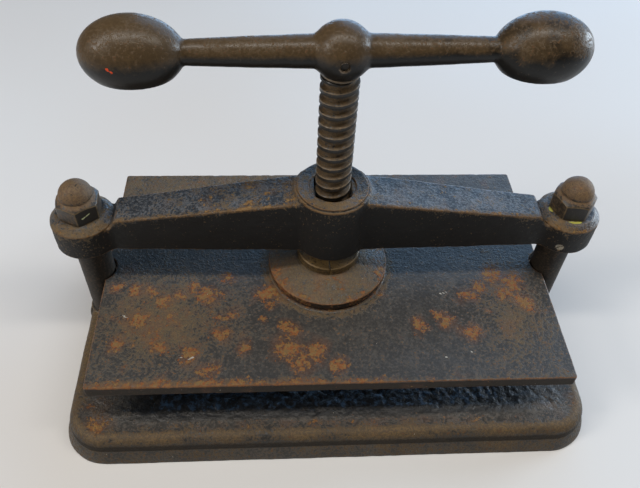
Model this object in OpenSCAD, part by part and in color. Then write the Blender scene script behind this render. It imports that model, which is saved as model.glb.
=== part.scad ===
// Cast-iron book press: bed, two pillars, yoke, coarse screw with a weighted handle, and platen.
// Millimetres. X runs along the yoke, Y to the back and Z up.
// The origin is the middle of the bed's underside.

/* [Bed] */
// Width of the bed across its foot
bed_w = 479; // [440:1:520]
// Depth of the bed across its foot
bed_d = 318; // [290:1:360]
// Height of the bed
bed_h = 28.5; // [26:0.5:36]
// Corner radius of the foot, seen from above
bed_corner_r = 40; // [32:1:60]
// Height of the foot's upright edge
foot_h = 8; // [5:0.5:11]
// How far the foot stands out from the bed's side, and the radius of the cove above it
foot_proud = 4; // [2:0.5:5]
// Round-over of the bed's top edge
bed_edge_r = 11; // [6:0.5:13]
// Thickness of the bed's plate over its hollow underside
bed_plate_t = 13; // [10:0.5:16]
// Thickness of the wall round the underside
bed_wall_t = 14; // [10:0.5:18]
// Thickness of the ribs under the plate
rib_t = 9; // [6:0.5:14]
// Clearance between the ribs and the table
rib_lift = 3; // [1:0.5:5]
// Distance of the two cross ribs from the middle
cross_rib_x = 80; // [60:1:110]

/* [Pillars] */
// Distance of a pillar's axis from the end of the foot
pillar_inset = 22.5; // [21:0.5:26]
// Diameter of a pillar
pillar_d = 30; // [26:0.5:32]
// Length of a pillar between its shoulders
pillar_h = 95; // [90:0.5:130]
// Diameter of the round seat under a pillar
seat_d = 35; // [33:0.5:36]
// Diameter of the tenon that goes through the bed
tenon_d = 16; // [12:0.5:18]
// Diameter of the stud that goes through the yoke
stud_d = 20; // [16:0.5:22]
// Length of the stud inside the cap nut
stud_reach = 15; // [12:0.5:17]

/* [Nuts] */
// Cap nut's width across its flats
cap_af = 32.4; // [31.6:0.2:36]
// Height of the cap nut's hexagon
cap_hex_h = 19.5; // [15:0.5:24]
// Diameter of the cap nut's dome
cap_dome_d = 31; // [28:0.2:32]
// Depth of the dome's centre below the top of the hexagon
cap_dome_drop = 1.5; // [1:0.5:5]
// Height that the cap nut's shoulder loses at the hexagon's corners
cap_corner_drop = 2.6; // [1:0.2:4]
// How far the left cap nut turned in tightening
left_cap_turn = -26; // [-30:1:30]
// How far the right cap nut turned in tightening
right_cap_turn = -9; // [-30:1:30]
// Width across the flats of the nut under the bed
foot_nut_af = 24; // [21:0.5:25]
// Height of the nut under the bed
foot_nut_h = 9; // [7:0.5:10]
// Diameter of the washer under the bed
washer_d = 28; // [27:0.5:29]
// Thickness of the washer under the bed
washer_t = 2.5; // [1.5:0.5:3]

/* [Yoke] */
// Diameter of the yoke's centre boss
boss_d = 66; // [60:0.5:74]
// Height of the centre boss, its rim included
boss_h = 62; // [58:0.5:70]
// Diameter of the rim on top of the boss
rim_d = 62; // [56:0.5:65]
// Height of the rim on top of the boss
rim_h = 2.4; // [1:0.2:4]
// Diameter of the open ring round the screw at the boss's top
mouth_d = 39.4; // [36:0.2:41]
// Thickness of the lip above the bush
lip_t = 11; // [6:0.5:16]
// Width of an arm beside the boss
arm_w_in = 39; // [32:0.5:44]
// Width of an arm beside the eye
arm_w_out = 31; // [26:0.5:38]
// Height of an arm beside the boss
arm_h_in = 56.5; // [46:0.5:57]
// Height of an arm beside the eye
arm_h_out = 34.5; // [30:0.5:40]
// Diameter of an end eye
eye_d = 55; // [50:0.5:60]
// Height of an end eye's upright side
eye_h = 27.5; // [22:0.5:29]
// Height of the sloping crown between an eye's rim and its cap nut
eye_crown_h = 5; // [1:0.5:6]
// Diameter of the flat seat on the crown
eye_seat_d = 42; // [40:0.5:46]
// Distance from the eye's axis to the ramp up to the arm
ramp_start = 25.5; // [24:0.5:28]
// Length of the ramp up to the arm
ramp_len = 4; // [2:0.5:8]
// Fillet between the arms and the boss
boss_fillet = 9; // [4:0.5:14]
// Fillet between the arms and the eyes
eye_fillet = 14; // [6:0.5:20]
// Diameter of the lock screw in the right eye
lock_d = 7.5; // [5:0.5:9]
// Height of the lock screw above the eye's underside
lock_rise = 7; // [5:0.5:20]
// Turn of the lock screw away from the front, seen from above
lock_turn = -20.6; // [-40:0.2:40]

/* [Screw] */
// Outside diameter of the thread
screw_d = 30; // [26:0.5:32]
// Rise of the thread in one turn
lead = 10.4; // [8:0.1:12]
// Depth of the thread
thread_depth = 3.2; // [2:0.1:3.6]
// Axial width of the thread's crest
crest_w = 4.2; // [3:0.1:5]
// Axial width of one flank of the thread
flank_w = 0.9; // [0.5:0.1:1.4]
// Length of the threaded stretch
thread_len = 187; // [170:1:230]
// Diameter of the collars at both ends of the thread, and of the foot
collar_d = 29.2; // [25:0.2:30]
// Diameter of the neck that the keepers hold
neck_d = 20; // [16:0.5:22]
// Diameter of the spigot inside the handle's ball
spigot_d = 21; // [16:0.5:24]
// Length of the spigot inside the handle's ball
spigot_len = 28; // [22:0.5:32]
// Radial clearance between screw and bush thread
thread_clear = 0.4; // [0.3:0.05:0.6]
// Outside diameter of the bush
bush_d = 44; // [42:0.5:48]

/* [Handle] */
// Overall length of the handle
handle_len = 367; // [320:1:440]
// Turn of the handle away from the yoke's line, seen from above
handle_turn = 1.7; // [-5:0.1:5]
// Diameter of the ball
ball_d = 43.1; // [41:0.1:52]
// Diameter of an arm at the ball
handle_d_in = 26; // [18:0.5:28]
// Diameter of an arm at the weight
handle_d_out = 18; // [14:0.1:22]
// Length of an egg weight
egg_len = 73.2; // [60:0.2:90]
// Diameter of an egg weight
egg_d = 53.1; // [44:0.1:62]
// Diameter of the cross pin
pin_d = 7; // [5:0.5:9]
// Depth of the pin's ends below the rim of its hole
pin_sink = 1.5; // [0.5:0.5:4]

/* [Platen] */
// Width of the platen
platen_w = 418; // [400:1:430]
// Depth of the platen
platen_d = 260; // [230:1:290]
// Thickness of the platen
platen_t = 12; // [9:0.5:14]
// Open height between bed and platen, as shown
daylight = 39.5; // [20:0.5:44]
// Gap between a pillar and the platen's notch
notch_gap = 1.5; // [1:0.1:3]
// Diameter of the hub on the platen
hub_d = 112; // [100:1:130]
// Height of the hub's edge above the platen
hub_edge_h = 9.4; // [8:0.2:12]
// Height of the hub above the platen
hub_h = 20; // [18:0.5:24]
// Radius of the fillet round the hub's foot
hub_fillet = 4.8; // [3:0.2:5.4]
// Depth of the groove under the hub's edge
hub_groove = 1.2; // [0.6:0.1:2]
// Depth of the socket for the screw's foot
socket_depth = 18; // [15:0.5:20]
// Thickness of the thrust pad
pad_t = 4; // [2:0.5:5]

/* [Keepers] */
// Outside diameter of the keeper ring
keeper_d = 58; // [54:0.5:64]
// Height of the keeper ring
keeper_h = 8; // [7:0.5:10]
// Thickness of the keepers' lip round the neck
keeper_lip = 4; // [3:0.5:5]
// Width of the slit between the keepers
keeper_slit = 0.8; // [0.6:0.1:2]
// Diameter of a keeper screw
keeper_screw_d = 6; // [4:0.5:7]
// Diameter of the circle of keeper screws
keeper_screw_circle = 45; // [44:0.5:47]
// Diameter of a keeper screw's head
keeper_head_d = 12; // [10:0.5:13]
// Depth of a keeper screw in the ring
keeper_screw_bite = 6; // [4:0.5:6.5]

/* [Fits] */
// Radial clearance of a turning or sliding fit
run_clear = 0.4; // [0.3:0.05:0.6]
// Axial clearance of the screw's foot and neck
end_clear = 0.3; // [0.2:0.05:0.5]
// Radial clearance of a fixed fit
fit_clear = 0.1; // [0.05:0.05:0.2]
// Diameter of the grub screw in the boss
grub_d = 8; // [6:0.5:10]

/* [Hidden] */
$fn = 96;
// Overlap of cuts past the faces that they open
eps = 1;
pillar_x = bed_w / 2 - pillar_inset;
yoke_z = bed_h + pillar_h;
cap_z = yoke_z + eye_h + eye_crown_h;
boss_top_z = yoke_z + boss_h;
bush_top_z = boss_top_z - lip_t;
platen_z = bed_h + daylight;
platen_top_z = platen_z + platen_t;
hub_top_z = platen_top_z + hub_h;
keeper_top_z = hub_top_z + keeper_h;

// Under the bed, from the table up: tenon tip, nut, washer
tip_lift = 1;
tip_out = 1.5;
nut_z = tip_lift + tip_out;
washer_z = nut_z + foot_nut_h;
recess_z = washer_z + washer_t;
recess_clear = 0.6;
recess_r = washer_d / 2 + recess_clear;
boss_wall = 6;

// Screw levels, all taken from the platen that carries it
pad_z = hub_top_z - socket_depth;
foot_z = pad_z + pad_t + end_clear;
neck_z = hub_top_z - end_clear;
collar_z = hub_top_z + keeper_lip + end_clear;
collar_rise = 1;
collar_top_z = keeper_top_z + collar_rise;
thread_gap = 0.5;
thread_z = collar_top_z + thread_gap;
shoulder_t = 2;
shoulder_z = thread_z + thread_len + thread_gap + shoulder_t;
ball_z = shoulder_z + sqrt(pow(ball_d / 2, 2) - pow(collar_d / 2, 2));
root_r = screw_d / 2 - thread_depth;
core_inset = 0.6;
core_r = root_r - core_inset;
spigot_room = 1;
turn_steps = 24;
thread_fade = turn_steps / 6;
egg_step = 5;

// How far a fillet's arc runs into what it joins, so that the two never only touch
web_bite = 0.3;
grub_rise = (boss_h - lip_t) / 2;
grub_sink = 1;
slot_w = 1.4;
slot_depth = 1.5;
lock_slot_turn = 40;
hub_edge_chamfer = 0.8;
hub_seat = 1;

left = -1;
right = 1;

// Bed

// Section of the bed's moulded edge: foot, cove, upright side and round-over
module bed_edge(reach) {
    side = reach - foot_proud;
    square([reach, foot_h]);
    square([side, bed_h - bed_edge_r]);
    square([side - bed_edge_r, bed_h]);
    intersection() {
        translate([side - bed_edge_r, bed_h - bed_edge_r]) circle(r = bed_edge_r);
        translate([side - bed_edge_r, bed_h - bed_edge_r]) square(bed_edge_r);
    }
    difference() {
        translate([side, foot_h]) square(foot_proud);
        translate([reach, foot_h + foot_proud]) circle(r = foot_proud);
    }
}

// The moulded edge carried round a rectangle with round corners
module bed_block() {
    mid_w = bed_w - 2 * bed_corner_r;
    mid_d = bed_d - 2 * bed_corner_r;
    for (turn = [0, 1]) {
        rotate([90, 0, 90]) mirror([turn, 0, 0]) linear_extrude(mid_w, center = true) bed_edge(bed_d / 2);
        mirror([turn, 0, 0]) translate([mid_w / 2, 0, 0]) rotate([90, 0, 0])
            linear_extrude(mid_d, center = true) bed_edge(bed_corner_r);
    }
    for (x = [0, 1], y = [0, 1])
        mirror([x, 0, 0]) mirror([0, y, 0]) translate([mid_w / 2, mid_d / 2, 0])
            rotate_extrude(angle = 90) bed_edge(bed_corner_r);
}

module rounded_rectangle(w, d, r) {
    square([w - 2 * r, d], center = true);
    square([w, d - 2 * r], center = true);
    for (x = [-1, 1], y = [-1, 1]) translate([x * (w / 2 - r), y * (d / 2 - r)]) circle(r = r);
}

// Outline of the hollow under the bed
module hollow_outline() {
    rounded_rectangle(bed_w - 2 * bed_wall_t, bed_d - 2 * bed_wall_t, bed_corner_r - bed_wall_t);
}

module at_pillars() {
    for (side = [left, right]) translate([side * pillar_x, 0, 0]) children();
}

// Pockets between the ribs, with the round bosses at the pillars left standing
module bed_hollows() {
    depth = bed_h - bed_plate_t;
    difference() {
        union() {
            translate([0, 0, -eps]) linear_extrude(depth + eps) difference() {
                hollow_outline();
                square([bed_w, rib_t], center = true);
                for (side = [left, right])
                    translate([side * cross_rib_x, 0]) square([rib_t, bed_d], center = true);
            }
            translate([0, 0, -eps]) linear_extrude(rib_lift + eps) hollow_outline();
        }
        translate([0, 0, -2 * eps]) at_pillars() cylinder(r = recess_r + boss_wall, h = bed_h);
    }
}

module bed() {
    color("#2e2b29") difference() {
        union() {
            bed_block();
            at_pillars() cylinder(d = seat_d, h = bed_h);
        }
        bed_hollows();
        at_pillars() {
            translate([0, 0, -eps]) cylinder(r = recess_r, h = recess_z + eps);
            cylinder(d = tenon_d + 2 * fit_clear, h = bed_h + eps);
        }
    }
}

// Pillars and their nuts

module pillar(side) {
    color("#35312d") translate([side * pillar_x, 0, 0]) {
        translate([0, 0, tip_lift]) cylinder(d = tenon_d, h = bed_h - tip_lift);
        translate([0, 0, bed_h]) cylinder(d = pillar_d, h = pillar_h);
        translate([0, 0, yoke_z]) cylinder(d = stud_d, h = eye_h + eye_crown_h + stud_reach);
    }
}

module foot_washer(side) {
    color("#4a443e") translate([side * pillar_x, 0, washer_z]) difference() {
        cylinder(d = washer_d, h = washer_t);
        translate([0, 0, -eps]) cylinder(d = tenon_d + 2 * fit_clear, h = washer_t + 2 * eps);
    }
}

// Hexagon by its width across flats, with a corner on X
module hexagon(af, h) {
    cylinder(d = af / cos(30), h = h, $fn = 6);
}

module foot_nut(side) {
    color("#4a443e") translate([side * pillar_x, 0, nut_z]) difference() {
        hexagon(foot_nut_af, foot_nut_h);
        translate([0, 0, -eps]) cylinder(d = tenon_d + 2 * fit_clear, h = foot_nut_h + 2 * eps);
    }
}

// Hexagon with its top corners turned off, a domed end and a blind hole for the stud
module cap_nut(side) {
    turn = side == left ? left_cap_turn : right_cap_turn;
    corner_r = cap_af / cos(30) / 2;
    slope = cap_corner_drop / (corner_r - cap_dome_d / 2);
    color("#4a3a2e") translate([side * pillar_x, 0, cap_z]) rotate(turn) difference() {
        union() {
            intersection() {
                hexagon(cap_af, cap_hex_h);
                rotate_extrude() polygon([
                    [0, 0],
                    [corner_r + eps, 0],
                    [corner_r + eps, cap_hex_h - cap_corner_drop - slope * eps],
                    [cap_dome_d / 2, cap_hex_h],
                    [0, cap_hex_h]
                ]);
            }
            intersection() {
                translate([0, 0, cap_hex_h - cap_dome_drop]) sphere(d = cap_dome_d);
                cylinder(d = cap_dome_d + 2 * eps, h = cap_hex_h + cap_dome_d);
            }
        }
        translate([0, 0, -eps]) cylinder(d = stud_d + 2 * fit_clear, h = stud_reach + 2 * eps);
    }
}

// Yoke

// Plan of the web that rounds the corner between an arm's side and a round end of radius r
module corner_web(r, half_w, fillet) {
    y = half_w + fillet - web_bite;
    x = sqrt(pow(r + fillet - web_bite, 2) - y * y);
    difference() {
        polygon([[0, 0], [x, y], [x, 0]]);
        translate([x, y]) circle(r = fillet);
    }
}

// Plan of one arm, from the boss to its eye
module arm_plan() {
    polygon([
        [0, -arm_w_in / 2],
        [boss_d / 2, -arm_w_in / 2],
        [pillar_x - eye_d / 2, -arm_w_out / 2],
        [pillar_x, -arm_w_out / 2],
        [pillar_x, arm_w_out / 2],
        [pillar_x - eye_d / 2, arm_w_out / 2],
        [boss_d / 2, arm_w_in / 2],
        [0, arm_w_in / 2]
    ]);
    for (back = [0, 1]) mirror([0, back, 0]) {
        corner_web(boss_d / 2, arm_w_in / 2, boss_fillet);
        translate([pillar_x, 0]) mirror([1, 0, 0]) corner_web(eye_d / 2, arm_w_out / 2, eye_fillet);
    }
}

// Side view of one arm: flat below, sloping above, with a short ramp up from the eye
module arm_side() {
    ramp_x = pillar_x - ramp_start;
    polygon([
        [0, 0],
        [pillar_x, 0],
        [pillar_x, eye_h],
        [ramp_x, eye_h],
        [ramp_x - ramp_len, arm_h_out],
        [boss_d / 2, arm_h_in],
        [0, arm_h_in]
    ]);
}

module yoke() {
    color("#2b2826") translate([0, 0, yoke_z]) difference() {
        union() {
            cylinder(d = boss_d, h = boss_h - rim_h);
            cylinder(d = rim_d, h = boss_h);
            for (side = [0, 1]) mirror([side, 0, 0]) intersection() {
                linear_extrude(boss_h) arm_plan();
                rotate([90, 0, 0]) linear_extrude(2 * boss_d, center = true) arm_side();
            }
            at_pillars() {
                cylinder(d = eye_d, h = eye_h);
                translate([0, 0, eye_h]) cylinder(d1 = eye_d, d2 = eye_seat_d, h = eye_crown_h);
            }
        }
        translate([0, 0, -eps]) cylinder(d = bush_d + 2 * fit_clear, h = boss_h - lip_t + eps);
        cylinder(d = mouth_d, h = boss_h + eps);
        at_pillars() translate([0, 0, -eps]) cylinder(d = stud_d + 2 * fit_clear, h = boss_h);
        translate([0, 0, grub_rise]) rotate([-90, 0, 0]) cylinder(d = grub_d + 2 * fit_clear, h = boss_d);
        translate([pillar_x, 0, lock_rise]) rotate([90, 0, lock_turn])
            cylinder(d = lock_d + 2 * fit_clear, h = eye_d);
    }
}

// Screw and bush

// Solid right-hand thread from z0 over a number of steps round the axis.
// A point k, j is the j-th corner of the ridge at step k: root, crest, crest, root.
module thread_body(z0, steps, root, crest, ridge_w, fade) {
    offsets = [0, flank_w, flank_w + ridge_w, 2 * flank_w + ridge_w];
    function fade_in(k) = min(1, fade == 0 ? 1 : min(k, steps - k) / fade);
    function radius(k, j) = j == 1 || j == 2 ? root + (crest - root) * fade_in(k) : root;
    function corner(k, j) = let (a = 360 * k / turn_steps, r = radius(k, j))
        [r * cos(a), r * sin(a), z0 + lead * k / turn_steps + offsets[j]];
    function id(k, j) = 4 * k + j;
    low = 4 * (steps + 1);
    high = low + 1;
    last = steps - turn_steps;
    points = concat(
        [for (k = [0 : steps], j = [0 : 3]) corner(k, j)],
        [[0, 0, z0 + lead / 2], [0, 0, z0 + lead * last / turn_steps + offsets[3] + lead / 2]]
    );
    ridge = [for (k = [0 : steps - 1], j = [0 : 2])
        each [[id(k, j), id(k, j + 1), id(k + 1, j + 1)], [id(k, j), id(k + 1, j + 1), id(k + 1, j)]]];
    root_band = [for (k = [0 : last - 1]) let (up = k + turn_steps)
        each [[id(k, 3), id(up, 0), id(up + 1, 0)], [id(k, 3), id(up + 1, 0), id(k + 1, 3)]]];
    bottom_rim = concat(
        [for (k = [turn_steps : -1 : 0]) id(k, 0)],
        [id(0, 1), id(0, 2), id(0, 3)]
    );
    top_rim = concat(
        [for (k = [last : steps]) id(k, 3)],
        [id(steps, 2), id(steps, 1), id(steps, 0)]
    );
    function fan(hub, rim) = [for (i = [0 : len(rim) - 1]) [hub, rim[i], rim[(i + 1) % len(rim)]]];
    polyhedron(points, concat(ridge, root_band, fan(low, bottom_rim), fan(high, top_rim)));
}

// Middle of the ball, turned with the handle
module at_ball() {
    translate([0, 0, ball_z]) rotate(handle_turn) children();
}

module screw() {
    steps = floor(turn_steps * (thread_len - 2 * flank_w - crest_w) / lead);
    color("#5a4a36") difference() {
        union() {
            thread_body(thread_z, steps, root_r, screw_d / 2, crest_w, thread_fade);
            translate([0, 0, neck_z - eps]) cylinder(d = neck_d, h = collar_z - neck_z + 2 * eps);
            translate([0, 0, foot_z]) cylinder(d = collar_d, h = neck_z - foot_z);
            translate([0, 0, collar_z]) cylinder(d = collar_d, h = collar_top_z - collar_z);
            translate([0, 0, collar_z]) cylinder(r = core_r, h = shoulder_z - collar_z);
            translate([0, 0, shoulder_z - shoulder_t]) cylinder(d = collar_d, h = shoulder_t);
            translate([0, 0, shoulder_z - eps]) cylinder(d = spigot_d, h = spigot_len + eps);
        }
        at_ball() rotate([90, 0, 0]) cylinder(d = pin_d + 2 * fit_clear, h = ball_d, center = true);
    }
}

// The bush's thread is the screw's own, with clearance all round
module screw_bush() {
    turns_below = ceil((thread_z - yoke_z) / lead) + 2;
    z0 = thread_z - lead * turns_below - thread_clear;
    steps = turn_steps * (ceil((bush_top_z - z0) / lead) + 2);
    color("#6b5a3a") difference() {
        translate([0, 0, yoke_z]) cylinder(d = bush_d, h = bush_top_z - yoke_z);
        thread_body(z0, steps, root_r + thread_clear, screw_d / 2 + thread_clear,
                    crest_w + 2 * thread_clear, 0);
    }
}

// Headless screw along Z with a slot across its end
module grub_screw(d, reach) {
    difference() {
        cylinder(d = d, h = reach);
        translate([-d, -slot_w / 2, reach - slot_depth]) cube([2 * d, slot_w, slot_depth + eps]);
    }
}

// From the back of the boss to the bush
module bush_grub_screw() {
    color("#3a3632") translate([0, bush_d / 2 + fit_clear, yoke_z + grub_rise]) rotate([-90, 0, 0])
        grub_screw(grub_d, (boss_d - bush_d) / 2 - grub_sink);
}

// From the front of the right eye to the pillar's stud
module eye_lock_screw() {
    color("#b9b3a4") translate([pillar_x, 0, yoke_z + lock_rise]) rotate([90, 0, lock_turn])
        translate([0, 0, stud_d / 2 + fit_clear]) rotate(lock_slot_turn)
            grub_screw(lock_d, (eye_d - stud_d) / 2 - grub_sink);
}

// Handle

// Half outline of an arm and its egg: the egg's ellipse and the arm's taper run into each other
// as the n-th root of the sum of their n-th powers, which leaves a small fillet
module handle_outline() {
    half = handle_len / 2;
    a = egg_len / 2;
    b = egg_d / 2;
    middle = half - a;
    n = 7;
    function arm_r(x) = x > middle ? 0
        : (handle_d_in + (handle_d_out - handle_d_in) * min(1, x / (half - egg_len))) / 2;
    function egg_r(t) = b * sin(t);
    function blend(p, q) = pow(pow(p, n) + pow(q, n), 1 / n);
    function fading_arm(x, t) = t > 90 ? 0 : arm_r(x) * sqrt(cos(t));
    polygon(concat(
        [[0, 0], [handle_d_in / 2, 0]],
        [for (t = [0 : egg_step : 180 - egg_step])
            let (x = middle - a * cos(t)) [blend(fading_arm(x, t), egg_r(t)), x]],
        [[0, half]]
    ));
}

module handle() {
    color("#33302c") difference() {
        at_ball() {
            sphere(d = ball_d);
            for (side = [-90, 90]) rotate([0, side, 0]) rotate_extrude() handle_outline();
        }
        translate([0, 0, shoulder_z - ball_d]) cylinder(d = ball_d, h = ball_d);
        translate([0, 0, shoulder_z - eps])
            cylinder(d = spigot_d + 2 * fit_clear, h = spigot_len + spigot_room + eps);
        at_ball() rotate([90, 0, 0])
            cylinder(d = pin_d + 2 * fit_clear, h = ball_d + 2 * eps, center = true);
    }
}

module handle_pin() {
    rim = sqrt(pow(ball_d / 2, 2) - pow(pin_d / 2, 2));
    color("#26231f") at_ball() rotate([90, 0, 0]) cylinder(d = pin_d, h = 2 * (rim - pin_sink), center = true);
}

// Platen and keepers

// Half section of the hub, from the platen's top: fillet, groove, edge and sloping top
module hub_outline() {
    r = hub_d / 2;
    foot_r = r - hub_groove + hub_fillet;
    polygon(concat(
        [[0, -eps], [foot_r, -eps]],
        [for (a = [0 : 15 : 90]) [foot_r - hub_fillet * sin(a), hub_fillet * (1 - cos(a))]],
        [
            [r - hub_groove, hub_fillet + hub_groove],
            [r, hub_fillet + hub_groove],
            [r, hub_edge_h - hub_edge_chamfer],
            [r - hub_edge_chamfer, hub_edge_h],
            [keeper_d / 2 + hub_seat, hub_h],
            [0, hub_h]
        ]
    ));
}

module at_keeper_screws() {
    for (a = [45 : 90 : 315]) rotate(a) translate([keeper_screw_circle / 2, 0, 0]) children();
}

module platen() {
    color("#3a3430") difference() {
        union() {
            translate([-platen_w / 2, -platen_d / 2, platen_z]) cube([platen_w, platen_d, platen_t]);
            translate([0, 0, platen_top_z]) rotate_extrude() hub_outline();
        }
        at_pillars() translate([0, 0, platen_z - eps])
            cylinder(r = pillar_d / 2 + notch_gap, h = platen_t + 2 * eps);
        translate([0, 0, pad_z]) cylinder(d = collar_d + 2 * run_clear, h = socket_depth + eps);
        translate([0, 0, platen_z]) at_keeper_screws() keeper_screw(fit_clear, hub_top_z - platen_z + eps);
    }
}

module thrust_pad() {
    color("#565450") translate([0, 0, pad_z]) cylinder(d = collar_d, h = pad_t);
}

// Half of the ring: a lip round the screw's neck under a wider mouth for its collar
module keeper(side) {
    color("#4b3d2c") intersection() {
        difference() {
            translate([0, 0, hub_top_z]) cylinder(d = keeper_d, h = keeper_h);
            translate([0, 0, hub_top_z - eps]) cylinder(d = neck_d + 2 * run_clear, h = keeper_h);
            translate([0, 0, hub_top_z + keeper_lip])
                cylinder(d = collar_d + 2 * run_clear, h = keeper_h);
            translate([0, 0, platen_z]) at_keeper_screws()
                keeper_screw(fit_clear, hub_top_z + keeper_screw_bite + eps - platen_z);
        }
        translate([side * (keeper_d + keeper_slit) / 2, 0, hub_top_z])
            cube([keeper_d, 2 * keeper_d, 2 * keeper_h], center = true);
    }
}

// Countersunk screw pointing up, larger all round by the clearance given
module keeper_screw(clear, reach) {
    head_h = (keeper_head_d - keeper_screw_d) / 2;
    translate([0, 0, -clear])
        cylinder(d1 = keeper_head_d + 2 * clear, d2 = keeper_screw_d + 2 * clear, h = head_h);
    cylinder(d = keeper_screw_d + 2 * clear, h = reach);
}

module keeper_screws() {
    color("#3a3632") translate([0, 0, platen_z]) at_keeper_screws() difference() {
        keeper_screw(0, hub_top_z + keeper_screw_bite - platen_z);
        translate([-keeper_head_d, -slot_w / 2, -eps]) cube([2 * keeper_head_d, slot_w, slot_depth + eps]);
    }
}

bed();
pillar(left);  // left_pillar
pillar(right);  // right_pillar
foot_washer(left);  // left_foot_washer
foot_washer(right);  // right_foot_washer
foot_nut(left);  // left_foot_nut
foot_nut(right);  // right_foot_nut
yoke();
cap_nut(left);  // left_cap_nut
cap_nut(right);  // right_cap_nut
screw_bush();
bush_grub_screw();
eye_lock_screw();
screw();
handle();
handle_pin();
platen();
keeper(left);  // left_keeper
keeper(right);  // right_keeper
keeper_screws();
thrust_pad();
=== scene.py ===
import bpy
import numpy as np
from mathutils import Matrix, Vector


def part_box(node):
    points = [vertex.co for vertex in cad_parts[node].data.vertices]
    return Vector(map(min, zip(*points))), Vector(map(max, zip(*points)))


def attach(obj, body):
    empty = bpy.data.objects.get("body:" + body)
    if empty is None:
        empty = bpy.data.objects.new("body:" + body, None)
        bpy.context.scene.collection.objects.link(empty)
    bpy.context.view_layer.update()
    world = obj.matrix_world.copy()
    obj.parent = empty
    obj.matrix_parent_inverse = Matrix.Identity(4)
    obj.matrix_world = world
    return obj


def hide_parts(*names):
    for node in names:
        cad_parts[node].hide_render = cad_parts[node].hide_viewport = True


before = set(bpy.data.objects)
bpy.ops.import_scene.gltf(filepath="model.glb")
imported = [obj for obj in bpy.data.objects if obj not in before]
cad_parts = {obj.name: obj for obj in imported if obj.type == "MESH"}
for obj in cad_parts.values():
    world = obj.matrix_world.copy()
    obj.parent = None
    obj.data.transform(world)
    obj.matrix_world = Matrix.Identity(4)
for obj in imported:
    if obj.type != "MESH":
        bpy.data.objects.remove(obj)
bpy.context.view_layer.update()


# The bed
# One iron casting: a plate with a moulded edge that stands on its rim, hollow and ribbed below.
# The top is rough from the mould, the round edge is worn brown and waxed.

MM = 0.001


def corners_of(node):
    """A node's lowest and highest corner at rest, in millimetres."""
    low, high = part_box(node)
    return np.array(low) / MM, np.array(high) / MM


def lattice_noise(points, size, seed):
    """Random heights from -1 to 1 on a cubic lattice of that size, eased between its corners. Large primes
    scatter neighbouring cells."""
    primes = (73856093, 19349663, 83492791)
    cell = np.floor(points / size).astype(np.int64)
    part = points / size - cell
    part = part * part * (3 - 2 * part)
    total = np.zeros(points.shape[:-1])
    for corner in np.ndindex(2, 2, 2):
        mixed = np.bitwise_xor.reduce((cell + corner) * primes, -1) ^ (seed * 40503 + 977)
        mixed = (mixed ^ mixed >> 13) * 1274126177
        height = (mixed >> 9 & 65535) / 32767.5 - 1
        total += np.prod(np.where(corner, part, 1 - part), axis=-1) * height
    return total


def relief(points, grades, seed):
    """Cast or rusted relief in millimetres: one lattice noise for each pair of size and height."""
    return sum(height * lattice_noise(points, size, seed + k) for k, (size, height) in enumerate(grades))


def ease(value, low, high):
    """Rises smoothly from 0 at low to 1 at high."""
    t = np.clip((value - low) / (high - low), 0, 1)
    return t * t * (3 - 2 * t)


def bell(value, middle, width):
    """A bell curve: 1 at its middle, falling off on both sides over its width."""
    return np.exp(-((value - middle) / width) ** 2)


def arc(centre, radius, start, end, count):
    """Points on a circle from one angle to another, in degrees."""
    angle = np.radians(np.linspace(start, end, count))
    return np.c_[centre[0] + radius * np.cos(angle), centre[1] + radius * np.sin(angle)]


def stepped(path, step):
    """The same path with points added, so that none lie further apart than the step."""
    path = np.asarray(path, float)
    counts = np.maximum(1, np.ceil(np.linalg.norm(np.diff(path, axis=0), axis=1) / step).astype(int))
    place = np.concatenate([k + np.arange(n) / n for k, n in enumerate(counts)] + [[len(counts)]])
    return np.stack([np.interp(place, np.arange(len(path)), column) for column in path.T], -1)


def spread(*parts):
    """Coordinates of unlike shape, spread over one grid of points."""
    return np.stack(np.broadcast_arrays(*parts), -1)


def outward(points):
    """Unit normals of a closed grid, from the cross product of its two directions."""
    across = np.roll(points, -1, 1) - np.roll(points, 1, 1)
    facing = np.cross(across, np.gradient(points, axis=0))
    side = np.sign(np.sum((points - points.mean((0, 1))) * facing))
    return side * facing / (np.linalg.norm(facing, axis=-1, keepdims=True) + 1e-9)


def bend(points, normals):
    """How sharply the skin bends outwards along either direction, in radians per millimetre."""
    sharpest = np.zeros(points.shape[:2])
    for axis in (0, 1):
        before, after = np.roll(points, 1, axis), np.roll(points, -1, axis)
        span = np.linalg.norm(points - before, axis=-1) * np.linalg.norm(after - points, axis=-1) + 1e-4
        sharpest = np.maximum(sharpest, np.sum((2 * points - before - after) * normals, -1) / span)
    return sharpest


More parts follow.
